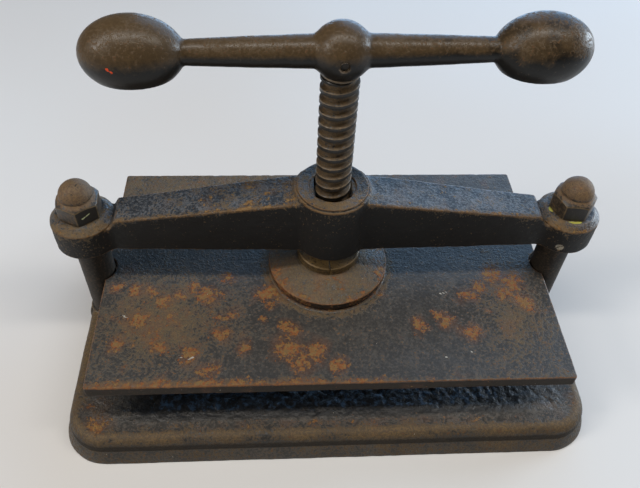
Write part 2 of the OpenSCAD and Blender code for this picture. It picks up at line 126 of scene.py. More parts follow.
def shell(points, fields, loop=False):
    """Corners and faces of a grid whose columns run round. A fan round its middle closes the first and
    the last row, or loop joins the last row to the first."""
    rows, columns = points.shape[:2]
    here = np.arange(rows * columns).reshape(rows, columns)
    right = np.roll(here, -1, 1)
    quads = np.stack([here, right, np.roll(right, -1, 0), np.roll(here, -1, 0)], -1)
    quads = quads[:rows if loop else rows - 1].reshape(-1, 4)
    fields = {name: [value.ravel()] for name, value in fields.items()}
    corners, fans = [points.reshape(-1, 3)], [np.zeros((0, 3), int)]
    for row, start, end in [] if loop else [(0, right[0], here[0]), (-1, here[-1], right[-1])]:
        fans.append(np.c_[start, end, np.full(columns, rows * columns + len(fans) - 1)])
        corners.append(points[row].mean(0)[None])
        for value in fields.values():
            value.append(value[0].reshape(rows, columns)[row].mean()[None])
    corners, fans = np.concatenate(corners), np.concatenate(fans)
    triangles = np.concatenate([quads[:, [0, 1, 2]], quads[:, [0, 2, 3]], fans])
    a, b, c = (corners[triangles[:, k]] for k in range(3))
    if np.sum(a * np.cross(b, c)) < 0:
        quads, fans = quads[:, ::-1], fans[:, ::-1]
    return {"corners": corners, "quads": quads, "fans": fans,
            "fields": {name: np.concatenate(value) for name, value in fields.items()}}


def welded(part):
    """The same shell with corners that share a place made one. Quads that this pinches become triangles,
    and faces that it flattens are left out."""
    _, first, place = np.unique(part["corners"].round(3), axis=0, return_index=True, return_inverse=True)
    quads, fans = place.ravel()[part["quads"]], place.ravel()[part["fans"]]
    same = quads == np.roll(quads, -1, 1)
    pinched = same.sum(1) == 1
    fans = np.concatenate([fans, quads[pinched][~same[pinched]].reshape(-1, 3)])
    return {"corners": part["corners"][first], "quads": quads[~same.any(1)],
            "fans": fans[(fans != np.roll(fans, -1, 1)).all(1)],
            "fields": {name: value[first] for name, value in part["fields"].items()}}


def set_up(name, data):
    """A new object at the scene's origin, from a mesh, a lamp or a camera."""
    made = bpy.data.objects.new(name, data)
    bpy.context.scene.collection.objects.link(made)
    return made


def piece(name, shells, body, finish, stands_for):
    """One object from one or more shells, on its body, with its fields as point attributes."""
    shells = [welded(part) for part in shells]
    shift = np.cumsum([0] + [len(s["corners"]) for s in shells[:-1]])
    corners = np.concatenate([s["corners"] for s in shells])
    quads, fans = (np.concatenate([s[kind] + n for s, n in zip(shells, shift)]) for kind in ("quads", "fans"))
    loops = np.concatenate([quads.ravel(), fans.ravel()])
    sizes = np.concatenate([np.full(len(quads), 4), np.full(len(fans), 3)])
    mesh = bpy.data.meshes.new(name)
    mesh.vertices.add(len(corners))
    mesh.vertices.foreach_set("co", (corners * MM).ravel())
    mesh.loops.add(len(loops))
    mesh.loops.foreach_set("vertex_index", loops)
    mesh.polygons.add(len(sizes))
    mesh.polygons.foreach_set("loop_start", np.cumsum(sizes) - sizes)
    mesh.polygons.foreach_set("use_smooth", np.ones(len(sizes), bool))
    mesh.update(calc_edges=True)
    for field in sorted({f for s in shells for f in s["fields"]}):
        values = [s["fields"].get(field, np.zeros(len(s["corners"]))) for s in shells]
        attribute = mesh.attributes.new(field, "FLOAT", "POINT")
        attribute.data.foreach_set("value", np.concatenate(values).astype(np.float32))
    made = set_up(name, mesh)
    mesh.materials.append(finish)
    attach(made, body)
    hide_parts(*stands_for)


def cast_shell(points, grades, seed, loop=False, **fields):
    """A shell whose skin is raised by its relief, with a wear field where its edges stand out."""
    normals = outward(points)
    wear = np.clip(bend(points, normals), 0, 1)
    raised = points + normals * relief(points, grades, seed)[..., None]
    return shell(raised, {"wear": wear, **fields}, loop)


def rim_template(straight_x, straight_y, corner):
    """A rounded rectangle as four arrays: which corner each point belongs to, in x and y from -1 to 1
    along the straight sides, and the direction of the corner's radius there."""
    def side(count, start, end):
        return np.linspace(start, end, count, endpoint=False)

    def quarter(start):
        return np.radians(np.linspace(start, start + 90, corner, endpoint=False))

    one_x, one_y, one_c = np.ones(straight_x), np.ones(straight_y), np.ones(corner)
    sx = np.concatenate([side(straight_x, -1, 1), one_c, one_y, one_c,
                         side(straight_x, 1, -1), -one_c, -one_y, -one_c])
    sy = np.concatenate([-one_x, -one_c, side(straight_y, -1, 1), one_c,
                         one_x, one_c, side(straight_y, 1, -1), -one_c])
    angle = np.concatenate([one_x * -np.pi / 2, quarter(-90), one_y * 0, quarter(0),
                            one_x * np.pi / 2, quarter(90), one_y * np.pi, quarter(180)])
    return sx, sy, np.cos(angle), np.sin(angle)


def srgb(red, green, blue):
    """A colour as it looks on a screen, 0 to 255, as linear values for a shader."""
    c = np.array([red, green, blue]) / 255
    return (*np.where(c <= 0.04045, c / 12.92, ((c + 0.055) / 1.055) ** 2.4), 1.0)


def start_finish(name):
    """An empty material with its shader and its Object coordinates."""
    material = bpy.data.materials.new(name)
    material.use_nodes = True
    tree = material.node_tree
    shader = tree.nodes["Principled BSDF"]
    place = tree.nodes.new("ShaderNodeTexCoord").outputs["Object"]
    return material, tree, shader, place


def feed(node, values):
    """Fills inputs by name or number: another node's socket is linked, a plain value is set."""
    for socket, value in values.items():
        if isinstance(value, bpy.types.NodeSocket):
            node.id_data.links.new(value, node.inputs[socket])
        else:
            node.inputs[socket].default_value = value


def outputs_of(tree, kind, values, **settings):
    """The outputs of a new node of that kind, with its settings and its inputs."""
    node = tree.nodes.new(kind)
    for setting, value in settings.items():
        setattr(node, setting, value)
    feed(node, values)
    return node.outputs


def cloud(place, size_mm, detail, rough=0.55, shift=0.0):
    """Noise whose features are about this size, from 0 to 1."""
    tree = place.id_data
    values = {"Vector": place, "Location": (shift, shift * 0.7, shift * 1.3)}
    moved = outputs_of(tree, "ShaderNodeMapping", values)["Vector"]
    values = {"Vector": moved, "Scale": 1 / (size_mm * MM), "Detail": detail, "Roughness": rough}
    return outputs_of(tree, "ShaderNodeTexNoise", values)["Fac"]


def field_of(tree, name):
    """A point attribute of the piece."""
    return outputs_of(tree, "ShaderNodeAttribute", {}, attribute_name=name)["Fac"]


def span(value, low, high, to_low=0.0, to_high=1.0):
    """Maps low..high to another range, held at its ends."""
    values = {"Value": value, "From Min": low, "From Max": high, "To Min": to_low, "To Max": to_high}
    return outputs_of(value.id_data, "ShaderNodeMapRange", values)["Result"]


def sway(noise, low, high):
    """Noise, which mostly runs from 0.2 to 0.8, mapped to another range."""
    return span(noise, 0.2, 0.8, low, high)


def reckon(operation, a, b):
    """One arithmetic step between two values."""
    return outputs_of(a.id_data, "ShaderNodeMath", {0: a, 1: b}, operation=operation)["Value"]


def added(a, b):
    """The sum of two values."""
    return reckon("ADD", a, b)


def tint(share, under, over):
    """Lays one colour over another by a share from 0 to 1."""
    values = {"Factor": share, "A": under, "B": over}
    return outputs_of(share.id_data, "ShaderNodeMix", values, data_type="RGBA")["Result"]


def between(a, b, share):
    """A colour on the way from one to another."""
    return tuple(np.array(a) * (1 - share) + np.array(b) * share)


def patina(name, skin, bloom, rust, worn_and_lit, soot=None, paint=None, rusting=-0.2, gloss=0.3, soot_and_shade_gloss=0.75,
           relief_mm=0.25, fleck=0.0, shine=0.5, pitted=0.5, shift=0.0):
    """Old iron in layers: two finely speckled tones of waxed skin with dark pits, soot and painted shade
    where the piece's field says so, a dry speckled bloom, ragged flakes of rust with a dark rim and a
    brown stain round them, worn edges and painted highlights, paint and painted glints, pale flecks, and
    last painted shade, dull, in the recesses. Skin, bloom and rust are pairs of colours; rusting adds rust
    everywhere, gloss is the roughness of the wax, shine the share of light that it throws back, and
    pitted how dark the pits are."""
    black = srgb(0, 0, 0)
    skin, bloom, rust = ([srgb(*tone) for tone in pair] for pair in (skin, bloom, rust))
    material, tree, shader, place = start_finish(name)
    mottle = cloud(place, 19, 5.0, 0.62, shift + 1)
    grain = cloud(place, 3.6, 4.0, 0.7, shift + 2)
    speck = cloud(place, 2.2, 2.0, 0.7, shift + 3)
    crumb = cloud(place, 5.0, 8.0, 0.72, shift + 4)
    tone = added(sway(mottle, 0.0, 0.35), sway(speck, 0.0, 0.65))
    colour = tint(span(tone, 0.4, 0.6), *skin)
    pits = span(grain, 0.33, 0.41, pitted, 0.0)
    colour = tint(pits, colour, between(skin[0], black, 0.5))
    # The soot field darkens the skin to the soot colour: a stain on some pieces, painted shade on others
    if soot:
        dull = added(field_of(tree, "soot"), sway(crumb, -0.3, 0.3))
        dull = span(dull, 0.1, 0.7)
        colour = tint(dull, colour, srgb(*soot))
    dry = added(sway(grain, -0.5, 0.5), sway(speck, -0.9, 0.9))
    dry = added(dry, sway(mottle, -0.35, 0.35))
    dry = span(added(field_of(tree, "bloom"), dry), 0.25, 0.7, 0.0, 0.9)
    colour = tint(dry, colour, tint(span(speck, 0.44, 0.56), *bloom))
    field = added(field_of(tree, "rust"), rusting)
    stain = added(field, sway(mottle, -0.4, 0.4))
    colour = tint(span(stain, 0.05, 0.7, 0.0, 0.45), colour, between(rust[0], skin[0], 0.4))
    ragged = added(field, sway(crumb, -0.9, 0.9))
    ragged = added(ragged, sway(speck, -0.3, 0.3))
    flake = span(ragged, 0.5, 0.58)
    spot = reckon("MULTIPLY", span(speck, 0.6, 0.68, 0.0, 0.7), dry)
    faded = reckon("MULTIPLY", span(ragged, 0.7, 1.0), span(speck, 0.42, 0.58))
    scab = tint(span(grain, 0.42, 0.58), *rust)
    scab = tint(span(ragged, 0.54, 0.66, 0.55, 0.0), scab, between(rust[0], black, 0.45))
    colour = tint(reckon("MAXIMUM", flake, spot), colour, tint(faded, scab, bloom[0]))
    # Worn edges take the worn colour; on the handle's pin hole and the screw's crests this is also a painted
    # highlight
    rubbed_and_lit = added(field_of(tree, "wear"), sway(grain, -0.5, 0.4))
    rubbed_and_lit = span(rubbed_and_lit, 0.15, 0.7, 0.0, 0.8)
    colour = tint(rubbed_and_lit, colour, srgb(*worn_and_lit))
    # Paint where the paint field says so; on the bed the paint colour is a painted blue reflection
    if paint:
        painted = added(field_of(tree, "paint"), sway(crumb, -0.45, 0.35))
        colour = tint(span(painted, 0.5, 0.62), colour, srgb(*paint))
    if fleck:
        flecks = cloud(place, 4.0, 2.0, 0.7, shift + 5)
        colour = tint(span(flecks, 0.78 - fleck, 0.8 - fleck), colour, srgb(180, 174, 162))
    rough = reckon("MAXIMUM", span(flake, 0.0, 1.0, gloss, 0.78),
                   span(dry, 0.0, 0.9, gloss, max(gloss, 0.66)))
    if soot:
        rough = reckon("MAXIMUM", rough, span(dull, 0.0, 1.0, gloss, soot_and_shade_gloss))
    rough = reckon("MINIMUM", rough, span(rubbed_and_lit, 0.0, 0.8, 0.8, 0.45))
    # Painted shade in the recesses: darker and duller
    deep = added(field_of(tree, "recess"), sway(speck, -0.25, 0.25))
    deep = span(deep, 0.2, 1.0, 0.0, 0.85)
    colour = tint(deep, colour, between(bloom[1], black, 0.8))
    rough = reckon("MAXIMUM", rough, span(deep, 0.0, 0.85, 0.3, 0.9))
    scaly = added(field_of(tree, "scaly"), span(dry, 0.0, 0.9, 0.3, 0.7))
    height = added(span(grain, 0.0, 1.0, 0.0, 0.8), span(speck, 0.0, 1.0, 0.0, 0.3))
    height = reckon("MULTIPLY", height, scaly)
    height = added(height, span(flake, 0.0, 1.0, 0.0, 0.35))
    values = {"Strength": 0.9, "Distance": relief_mm * MM, "Height": height}
    bumped = outputs_of(tree, "ShaderNodeBump", values)["Normal"]
    feed(shader, {"Base Color": colour, "Roughness": rough, "Normal": bumped, "Specular IOR Level": shine})
    return material


bed_half_w, bed_half_d, bed_top = corners_of("bed")[1]
bed_corner_r = 40
bed_columns = (236, 140, 14)
foot_h = 14
foot_flare = 5.3
bed_edge_r = 9.5
bed_wall_t = 14
bed_plate_t = 13
hollow_z = bed_top - bed_plate_t
edge_step = 1.3

# The edge from the top inwards to the table and up into the hollow: how far in from the foot, and how high
edge_inset = foot_flare + bed_edge_r
deepest = bed_half_d - 8
top_run = deepest - (deepest - edge_inset) * np.linspace(0, 1, 62) ** 0.62
flare = np.linspace(1, 0, 12)
bed_profile = np.concatenate([
    np.c_[top_run, np.full_like(top_run, bed_top)][:-1],
    arc((edge_inset, bed_top - bed_edge_r), bed_edge_r, 90, 180, 14),
    stepped([(foot_flare, bed_top - bed_edge_r), (foot_flare, foot_h + 0.8)], edge_step)[1:],
    np.c_[foot_flare * flare ** 1.25, 1.5 + (foot_h - 1.5) * flare],
    arc((1, 1), 1, 190, 270, 4),
    [(bed_wall_t - 1, 0), (bed_wall_t, 1), (bed_wall_t + 0.5, hollow_z - 3), (bed_wall_t + 4, hollow_z)],
    [(60, hollow_z), (deepest, hollow_z)],
])
inset, level = bed_profile[:, :1], bed_profile[:, 1:]
side_x, side_y, lean_x, lean_y = rim_template(*bed_columns)
core = np.maximum(bed_corner_r, inset)
turn_r = np.maximum(bed_corner_r - inset, 0)
bed_skin = spread(side_x * (bed_half_w - core) + lean_x * turn_r,
                  side_y * (bed_half_d - core) + lean_y * turn_r, level)

# The mould left the middle lumpy; the margin, the round edge and the foot were rubbed smoother
top_face = level > bed_top - 1
on_top = ease(inset, edge_inset - 3, edge_inset + 4) * top_face
lumpy = ease(inset, edge_inset + 5, edge_inset + 18) * top_face
bed_normals = outward(bed_skin)
facing_up = 1.0 * (level == bed_top) - (level == hollow_z)
bed_normals = np.where(facing_up[..., None] == 0, bed_normals, facing_up[..., None] * [0, 0, 1])
bed_wear = np.clip(bend(bed_skin, bed_normals) * 0.9, 0, 0.7)
lumps = relief(bed_skin, ((11, 0.2), (4.4, 0.55), (2.8, 0.7)), 11)
lump_h = 0.2
lumps = np.where(lumps > lump_h, lump_h + 0.25 * np.tanh((lumps - lump_h) / 0.4), lumps)
rubbed_relief = relief(bed_skin, ((26, 0.25), (7, 0.14), (2.6, 0.09)), 12)
bed_raised = bed_skin + bed_normals * (lumpy * lumps + (1 - lumpy) * rubbed_relief)[..., None]
bed_raised[..., 2] = np.maximum(bed_raised[..., 2], 0)

# Under the platen it is black and glossy, dark iron that also stands in for the platen's shade; on the margin
# grey with specks, on the edge brown
every = np.ones_like(side_x)
across_bed = np.abs(bed_skin[..., 0])
under_platen = ease(inset, edge_inset + 7, edge_inset + 15) * top_face
# Black under the platen, fading at its ends: the iron's dark scale, and painted shade where the platen covers
# it
black = under_platen * ease(across_bed, 205, 150)
steep = (inset < edge_inset) * ease(level, foot_h - 1, foot_h + 0.3)
# Painted shade: the valley between the round edge and the foot is darkened and dulled
valley = 1.2 * steep * ease(level, bed_top - 2, foot_h + 4)
foot = (inset < edge_inset) * ease(level, foot_h + 0.6, foot_h - 0.6)
bed_bloom = (1 - on_top) * (0.55 + 0.25 * lattice_noise(bed_skin, 30, 14)) - 0.15 * foot
bed_bloom = bed_bloom + on_top * (0.2 + 0.3 * lattice_noise(bed_skin, 14, 13)) - 0.8 * black
bed_bloom = bed_bloom - 0.2 * on_top * ease(bed_skin[..., 0], 100, 180)
bed_bloom = bed_bloom + 0.35 * bell(inset, edge_inset - 2, 5) * (level > bed_top - 6)
rusty_corner = (-208, -136)
corner_rust = np.exp(-np.sum((bed_skin[..., :2] - rusty_corner) ** 2, -1) / 150)
bed_rust = 0.25 * lattice_noise(bed_skin, 9, 16) + 0.3 * on_top + 0.6 * corner_rust - black - 0.05 * foot
# Its paint colour is the painted blue reflection under the platen; its soot colour is the black there and the
# platen's painted shade
bed_iron = patina("bed_patina", ((46, 43, 40), (78, 73, 66)), ((104, 81, 46), (70, 57, 38)),
                  ((116, 70, 34), (140, 104, 54)), (98, 78, 46), soot=(20, 18, 16),
                  paint=(56, 78, 102), gloss=0.4, soot_and_shade_gloss=0.34, relief_mm=0.8, fleck=0.02, shift=3.0)
# Painted reflection: blue patches on the lumps under the platen stand in for glints of the sky behind
painted_blue_glints = 0.55 * ease(inset, edge_inset + 12, edge_inset + 22) * black
bed_fields = {"wear": 0.2 * bed_wear * (1 - lumpy), "rust": bed_rust, "bloom": bed_bloom, "soot": black,
              "scaly": (0.2 + 1.6 * lumpy) * every, "recess": valley * every, "paint": painted_blue_glints}
bed_plate = shell(bed_raised, bed_fields)

# Round seats for the pillars, cast with the bed and flush with its top
pillar_low, pillar_high = corners_of("right_pillar")
pillar_x = (pillar_low[0] + pillar_high[0]) / 2
pillar_r = (pillar_high[0] - pillar_low[0]) / 2
seat_r = 17.5
seat_top = bed_top + 0.2
seat_columns = 96


def turned(profile, count, centre=(0, 0)):
    """A profile of radius and height carried round an upright axis."""
    angle = np.linspace(0, 2 * np.pi, count, endpoint=False)
    r, z = profile[:, :1], profile[:, 1:]
    return spread(centre[0] + r * np.cos(angle), centre[1] + r * np.sin(angle), z)


seat_profile = np.concatenate([
    [(2, hollow_z - 2), (seat_r - 1, hollow_z - 2)],
    stepped([(seat_r, hollow_z - 1), (seat_r, bed_top - 1)], edge_step),
    arc((seat_r - 1.2, bed_top - 1), 1.2, 0, 90, 5),
    [(seat_r - 4, seat_top), (2, seat_top)],
])
seats = [cast_shell(turned(seat_profile, seat_columns, (side * pillar_x, 0)), ((6, 0.12), (2.4, 0.06)), 15)
         for side in (-1, 1)]

# Ribs under the plate, and the bosses that the pillar nuts are sunk in
rib_t = 9
rib_lift = 3
cross_rib_x = 80
rib_edge = 1.5
rib_rows, rib_columns = 90, (6, 6, 5)
nut_boss_r = 20.6
nut_recess_r = 14.6
nut_recess_top = 14
tenon_r = 9
nut_boss_columns = 72


def bar(low, high, edge):
    """A straight bar along its longest side: a rounded rectangle carried from end to end."""
    low, high = np.asarray(low, float), np.asarray(high, float)
    run = int(np.argmax(high - low))
    a, b = [k for k in range(3) if k != run]
    sx, sy, nx, ny = rim_template(*rib_columns)
    middle, half = (low + high) / 2, (high - low) / 2
    points = np.zeros((rib_rows, len(sx), 3))
    points[..., run] = np.linspace(low[run], high[run], rib_rows)[:, None]
    points[..., a] = middle[a] + sx * (half[a] - edge) + nx * edge
    points[..., b] = middle[b] + sy * (half[b] - edge) + ny * edge
    return points


rib_reach = bed_half_d - bed_wall_t + 1
rib_ends = [((-pillar_x + nut_boss_r, -rib_t / 2), (pillar_x - nut_boss_r, rib_t / 2))]
rib_ends += [((x - rib_t / 2, -rib_reach), (x + rib_t / 2, rib_reach)) for x in (-cross_rib_x, cross_rib_x)]
ribs = [cast_shell(bar((*a, rib_lift), (*b, hollow_z + 2), rib_edge), ((8, 0.15), (3, 0.08)), 17)
        for a, b in rib_ends]
nut_boss_profile = stepped([
    (nut_recess_r, nut_recess_top), (nut_recess_r, 1.2), (nut_recess_r + 1, 0.2), (nut_boss_r - 1.5, 0.2),
    (nut_boss_r, 1.7), (nut_boss_r, hollow_z + 2), (nut_boss_r - 6, hollow_z + 3), (tenon_r, hollow_z + 3),
    (tenon_r, nut_recess_top)], 3)
bosses = [turned(nut_boss_profile, nut_boss_columns, (side * pillar_x, 0)) for side in (-1, 1)]
bosses = [cast_shell(boss, ((8, 0.1),), 19, loop=True) for boss in bosses]
piece("bed_casting", [bed_plate, *seats, *ribs, *bosses], "frame", bed_iron, ["bed"])


# The pillars
# Two turned iron bars with a tenon through the bed below and a stud through the yoke above.
# A nut and washer under the bed pull each one down on its seat.

pillar_columns = 110
yoke_low, yoke_high = corners_of("yoke")
yoke_z = yoke_low[2]
pillar_profile = np.concatenate([
    [(2, seat_top), (pillar_r - 1.5, seat_top)],
    arc((pillar_r - 1.2, seat_top + 1.2), 1.2, -80, 0, 4),
    stepped([(pillar_r, seat_top + 2), (pillar_r, yoke_z - 1)], 1.6),
    [(pillar_r - 0.8, yoke_z), (2, yoke_z)],
])
pillar_iron = patina("pillar_patina", ((36, 31, 25), (54, 46, 37)), ((80, 66, 46), (66, 56, 42)),
                     ((104, 66, 40), (118, 80, 48)), (84, 70, 52), gloss=0.6, relief_mm=0.3, shine=0.35,
                     shift=9.0)
for name, side in (("left_pillar", -1), ("right_pillar", 1)):
    pillar_skin = turned(pillar_profile, pillar_columns, (side * pillar_x, 0))
    pillar = cast_shell(pillar_skin, ((22, 0.1), (5, 0.06), (2.2, 0.04)), 21)
    piece(name + "_bar", [pillar], "frame", pillar_iron, [name])

dark_steel = patina("dark_steel", ((44, 40, 37), (66, 60, 54)), ((96, 86, 72), (84, 76, 66)),
                    ((104, 66, 40), (120, 80, 48)), (120, 108, 92), gloss=0.32, relief_mm=0.2, shift=14.0)


def refinish(node, finish):
    """Gives a node that stays as it is in the frame another finish."""
    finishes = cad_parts[node].data.materials
    finishes.clear()
    finishes.append(finish)


for name in ("left_foot_washer", "right_foot_washer", "left_foot_nut", "right_foot_nut", "bush_grub_screw",
             "keeper_screws", "thrust_pad"):
    refinish(name, dark_steel)


# The yoke
# One iron casting: a round boss for the screw, two tapering arms, and an eye over each pillar.
# The fronts and all faces that don't face up are painted black as shade, the tops dusty and scaly, the upper
# edges rubbed to brown.

boss_side_r = 33
boss_top = yoke_high[2]
rim_r = 31
rim_h = 2.4
mouth_r = 19.7
bush_top = corners_of("screw_bush")[1][2]
bush_r = 22.1
eye_r = yoke_high[0] - pillar_x
eye_seat_r = 21
cap_low, cap_high = corners_of("right_cap_nut")
eye_seat_z = cap_low[2]
eye_rim_z = eye_seat_z - 5
stud_r = 10.1
arm_half_in, arm_half_out = 19.5, 15.5
arm_top_in, arm_top_out = yoke_z + 56.5, yoke_z + 34.5
ramp_start, ramp_len = 25.5, 4
boss_fillet, eye_fillet, top_fillet = 9, 14, 4
arm_edge = 2.0
arm_columns = (34, 44, 7)
yoke_columns = 180
brow_in, brow_out, brow_start = 18.5, 13.5, 20.6


def fillet_half_width(x, r, half, fillet):
    """Half width of an arm where a fillet joins it to a round end of radius r at x = 0."""
    y0 = half + fillet
    x0 = np.sqrt((r + fillet) ** 2 - y0 ** 2)
    touch = x0 * r / (r + fillet)
    reach = np.clip(x, touch, x0) - x0
    return y0 - np.sqrt(fillet ** 2 - reach ** 2)


station = np.concatenate([np.linspace(16, boss_side_r - 6, 8)[:-1], np.linspace(boss_side_r - 6, 52, 26)[:-1],
                          np.linspace(52, pillar_x - eye_r - 18, 66)[:-1],
                          np.linspace(pillar_x - eye_r - 18, pillar_x - 12, 40)])
taper = np.clip((station - boss_side_r) / (pillar_x - eye_r - boss_side_r), 0, 1)
half_width = arm_half_in + (arm_half_out - arm_half_in) * taper
half_width += fillet_half_width(station, boss_side_r, arm_half_in, boss_fillet) - arm_half_in
half_width += fillet_half_width(pillar_x - station, eye_r, arm_half_out, eye_fillet) - arm_half_out
slope = (station - boss_side_r) / (pillar_x - ramp_start - ramp_len - boss_side_r)
arm_top = arm_top_in + (arm_top_out - arm_top_in) * np.clip(slope, 0, 1)
ramp = ease(station, pillar_x - ramp_start - ramp_len - 1.5, pillar_x - ramp_start + 1.0)
arm_top = arm_top + (eye_rim_z - 1 - arm_top) * ramp
side_y, side_z, lean_y, lean_z = rim_template(*arm_columns)
half_height = ((arm_top - yoke_z) / 2)[:, None]
arm_skin = spread(station[:, None], side_y * (half_width[:, None] - arm_edge) + lean_y * arm_edge,
                  yoke_z + half_height + side_z * (half_height - arm_edge) + lean_z * arm_edge)

# A fillet lifts the arm's top where it runs up to the boss
gap = np.hypot(arm_skin[..., 0], arm_skin[..., 1]) - boss_side_r
near = np.clip(top_fillet - gap, 0, top_fillet)
lift = top_fillet - np.sqrt(top_fillet ** 2 - near ** 2)
arm_skin[..., 2] += lift * np.clip(side_z + lean_z, 0, 1)

boss_profile = np.concatenate([
    stepped([(bush_r, yoke_z), (boss_side_r - 2, yoke_z)], 2.5),
    arc((boss_side_r - 2, yoke_z + 2), 2, -80, 0, 6),
    stepped([(boss_side_r, yoke_z + 3), (boss_side_r, boss_top - rim_h - 1.2)], 1.5),
    arc((boss_side_r - 1, boss_top - rim_h - 1), 1, 10, 90, 4),
    arc((rim_r + 0.5, boss_top - rim_h + 0.5), 0.5, 270, 180, 4),
    arc((rim_r - 0.9, boss_top - 0.9), 0.9, 10, 90, 5),
    stepped([(rim_r - 2.2, boss_top), (mouth_r + 2.4, boss_top - 0.5)], 1.2),
    arc((mouth_r + 1.5, boss_top - 2), 1.5, 90, 180, 6),
    stepped([(mouth_r, boss_top - 3), (mouth_r, bush_top)], 1.5),
    stepped([(bush_r, bush_top), (bush_r, yoke_z + 1)], 4),
])
eye_profile = np.concatenate([
    stepped([(stud_r, yoke_z), (eye_r - 2, yoke_z)], 2.5),
    arc((eye_r - 2, yoke_z + 2), 2, -80, 0, 6),
    stepped([(eye_r, yoke_z + 3), (eye_r, eye_rim_z - 1.5)], 1.4),
    arc((eye_r - 1.3, eye_rim_z - 1), 1.3, 0, 60, 5),
    stepped([(eye_r - 1.4, eye_rim_z + 0.8), (eye_seat_r + 1, eye_seat_z - 0.4)], 1.0),
    stepped([(eye_seat_r, eye_seat_z), (stud_r, eye_seat_z), (stud_r, yoke_z + 1)], 2.5),
])
as_cast = ((30, 0.3), (9, 0.22), (3.6, 0.14), (1.9, 0.07))


def sink_hole(points, centre, axis, radius, depth, reach):
    """Sinks a round hole into a skin beyond some reach along an axis: the nearest points are drawn onto
    the hole's rim, those inside it are moved in along the axis."""
    rim_w = 0.75
    away = points - centre
    along = away @ np.asarray(axis, float)
    outwards = away - along[..., None] * axis
    distance = np.linalg.norm(outwards, axis=-1)
    outer = along > reach
    on_rim = outer & (np.abs(distance - radius) < rim_w)
    inside = outer & (distance < radius - rim_w)
    pulled = points + outwards * np.where(on_rim, radius / np.maximum(distance, 0.1) - 1, 0)[..., None]
    return pulled - np.where(inside, depth, 0)[..., None] * axis


def yoke_fields(points, top):
    """Tops are dusty and patchy with bloom, golden at their front edges, from where it bleeds down the
    sides; all else is painted dark as shade. Paint rings the right nut's seat."""
    x, y, z = np.moveaxis(points, -1, 0)
    eye_start = pillar_x - eye_r
    up = ease(outward(points)[..., 2], 0.3, 0.85)
    patchy = 0.35 * lattice_noise(points, 9, 31) + 0.35 * lattice_noise(points, 4.5, 32)
    golden = bell(x, -70, 45)
    patchy += 0.3 * golden - 0.15 * ease(x, 20, 60) + 0.55 * ease(-x, eye_start, eye_start + 8)
    patchy += 0.6 * ease(x, eye_start - 4, eye_start + 4) * ease(-x, -pillar_x - 4, -pillar_x + 14)
    patchy -= 0.5 * ease(x, pillar_x - 2, pillar_x + 12)
    patchy += 0.3 * ease(-np.hypot(x, y), -38, -31)
    ochre = golden * ease(lattice_noise(points, 12, 39), 0.0, 0.6)
    off_eyes = ease(np.hypot(np.abs(x) - pillar_x, y), eye_r - 5, eye_r - 2)
    brow = brow_in + (brow_out - brow_in) * ease(np.abs(x), brow_start, eye_start)
    brink = 0.5 * up * ease(-y, brow - 4, brow - 1) * off_eyes
    bleed = np.exp(-np.clip(top - z, 0, 60) / 6) * (1 - up) * (0.7 + 0.7 * lattice_noise(points, 8, 36))
    from_stud = np.hypot(x - pillar_x, y)
    bearing = np.degrees(np.arctan2(y, x - pillar_x)) % 360
    ring = 1.2 * bell(from_stud, 19, 2) * ease(z, eye_rim_z, eye_rim_z + 2)
    painted = bell(bearing, 266, 22) + bell(bearing, 186, 13)
    left_eye = 0.35 * ease(-x, eye_start, pillar_x) * (1 - up)
    rusty = 0.16 + 0.1 * golden + 0.45 * ochre + 0.06 * ease(x, 20, 60) + 0.3 * lattice_noise(points, 11, 30)
    # Painted shade: faces that don't face up get the soot field and less bloom
    return {"bloom": up * patchy + brink - 0.3 * (1 - up) + 0.8 * bleed + left_eye,
            "rust": 0.6 * brink + up * rusty + 0.3 * bleed, "soot": (1 - up) * (1 - 0.6 * bleed),
            "scaly": 0.8 * up, "paint": ring * painted}


lock_rise = 7
lock_r = 3.85
lock_turn = np.radians(-20.6)
lock_axis = np.array((np.sin(lock_turn), -np.cos(lock_turn), 0))
grub_r = 4.1
grub_rise = 25.5
screw_sink = 2.5
yoke_shells = []
for side in (-1, 1):
    arm = arm_skin * [side, 1, 1]
    yoke_shells.append(cast_shell(arm, as_cast, 33, **yoke_fields(arm, arm_top[:, None])))
    eye = turned(eye_profile, yoke_columns, (side * pillar_x, 0))
    if side > 0:
        eye = sink_hole(eye, (pillar_x, 0, yoke_z + lock_rise), lock_axis, lock_r, screw_sink, stud_r + 2)
    yoke_shells.append(cast_shell(eye, as_cast[1:], 34, loop=True, **yoke_fields(eye, eye_rim_z)))
boss = turned(boss_profile, yoke_columns)
boss = sink_hole(boss, (0, 0, yoke_z + grub_rise), (0, 1, 0), grub_r, screw_sink, bush_r + 2)
yoke_shells.append(cast_shell(boss, as_cast[1:], 35, loop=True, **yoke_fields(boss, boss_top - rim_h)))
# The soot colour here is painted shade on the faces that don't face up
yoke_iron = patina("yoke_patina", ((46, 48, 51), (96, 97, 99)), ((116, 90, 52), (88, 75, 54)),
                   ((120, 84, 42), (146, 114, 66)), (112, 82, 46), soot=(12, 11, 10),
                   paint=(176, 172, 80), gloss=0.34, soot_and_shade_gloss=0.62, relief_mm=0.9, shine=0.45, shift=21.0)
piece("yoke_casting", yoke_shells, "frame", yoke_iron, ["yoke"])

bush_brass = patina("bush_brass", ((52, 40, 24), (88, 70, 40)), ((96, 78, 46), (84, 68, 44)),
                    ((80, 52, 30), (96, 66, 36)), (130, 108, 66), gloss=0.32, relief_mm=0.1, shift=25.0)
pale_plate = patina("pale_plating", ((140, 132, 116), (186, 178, 160)),
                    ((170, 160, 140), (150, 140, 120)), ((120, 96, 62), (140, 112, 72)),
                    (196, 190, 176), gloss=0.4, relief_mm=0.1, shift=27.0)
for name, finish in (("screw_bush", bush_brass), ("eye_lock_screw", pale_plate)):
    refinish(name, finish)


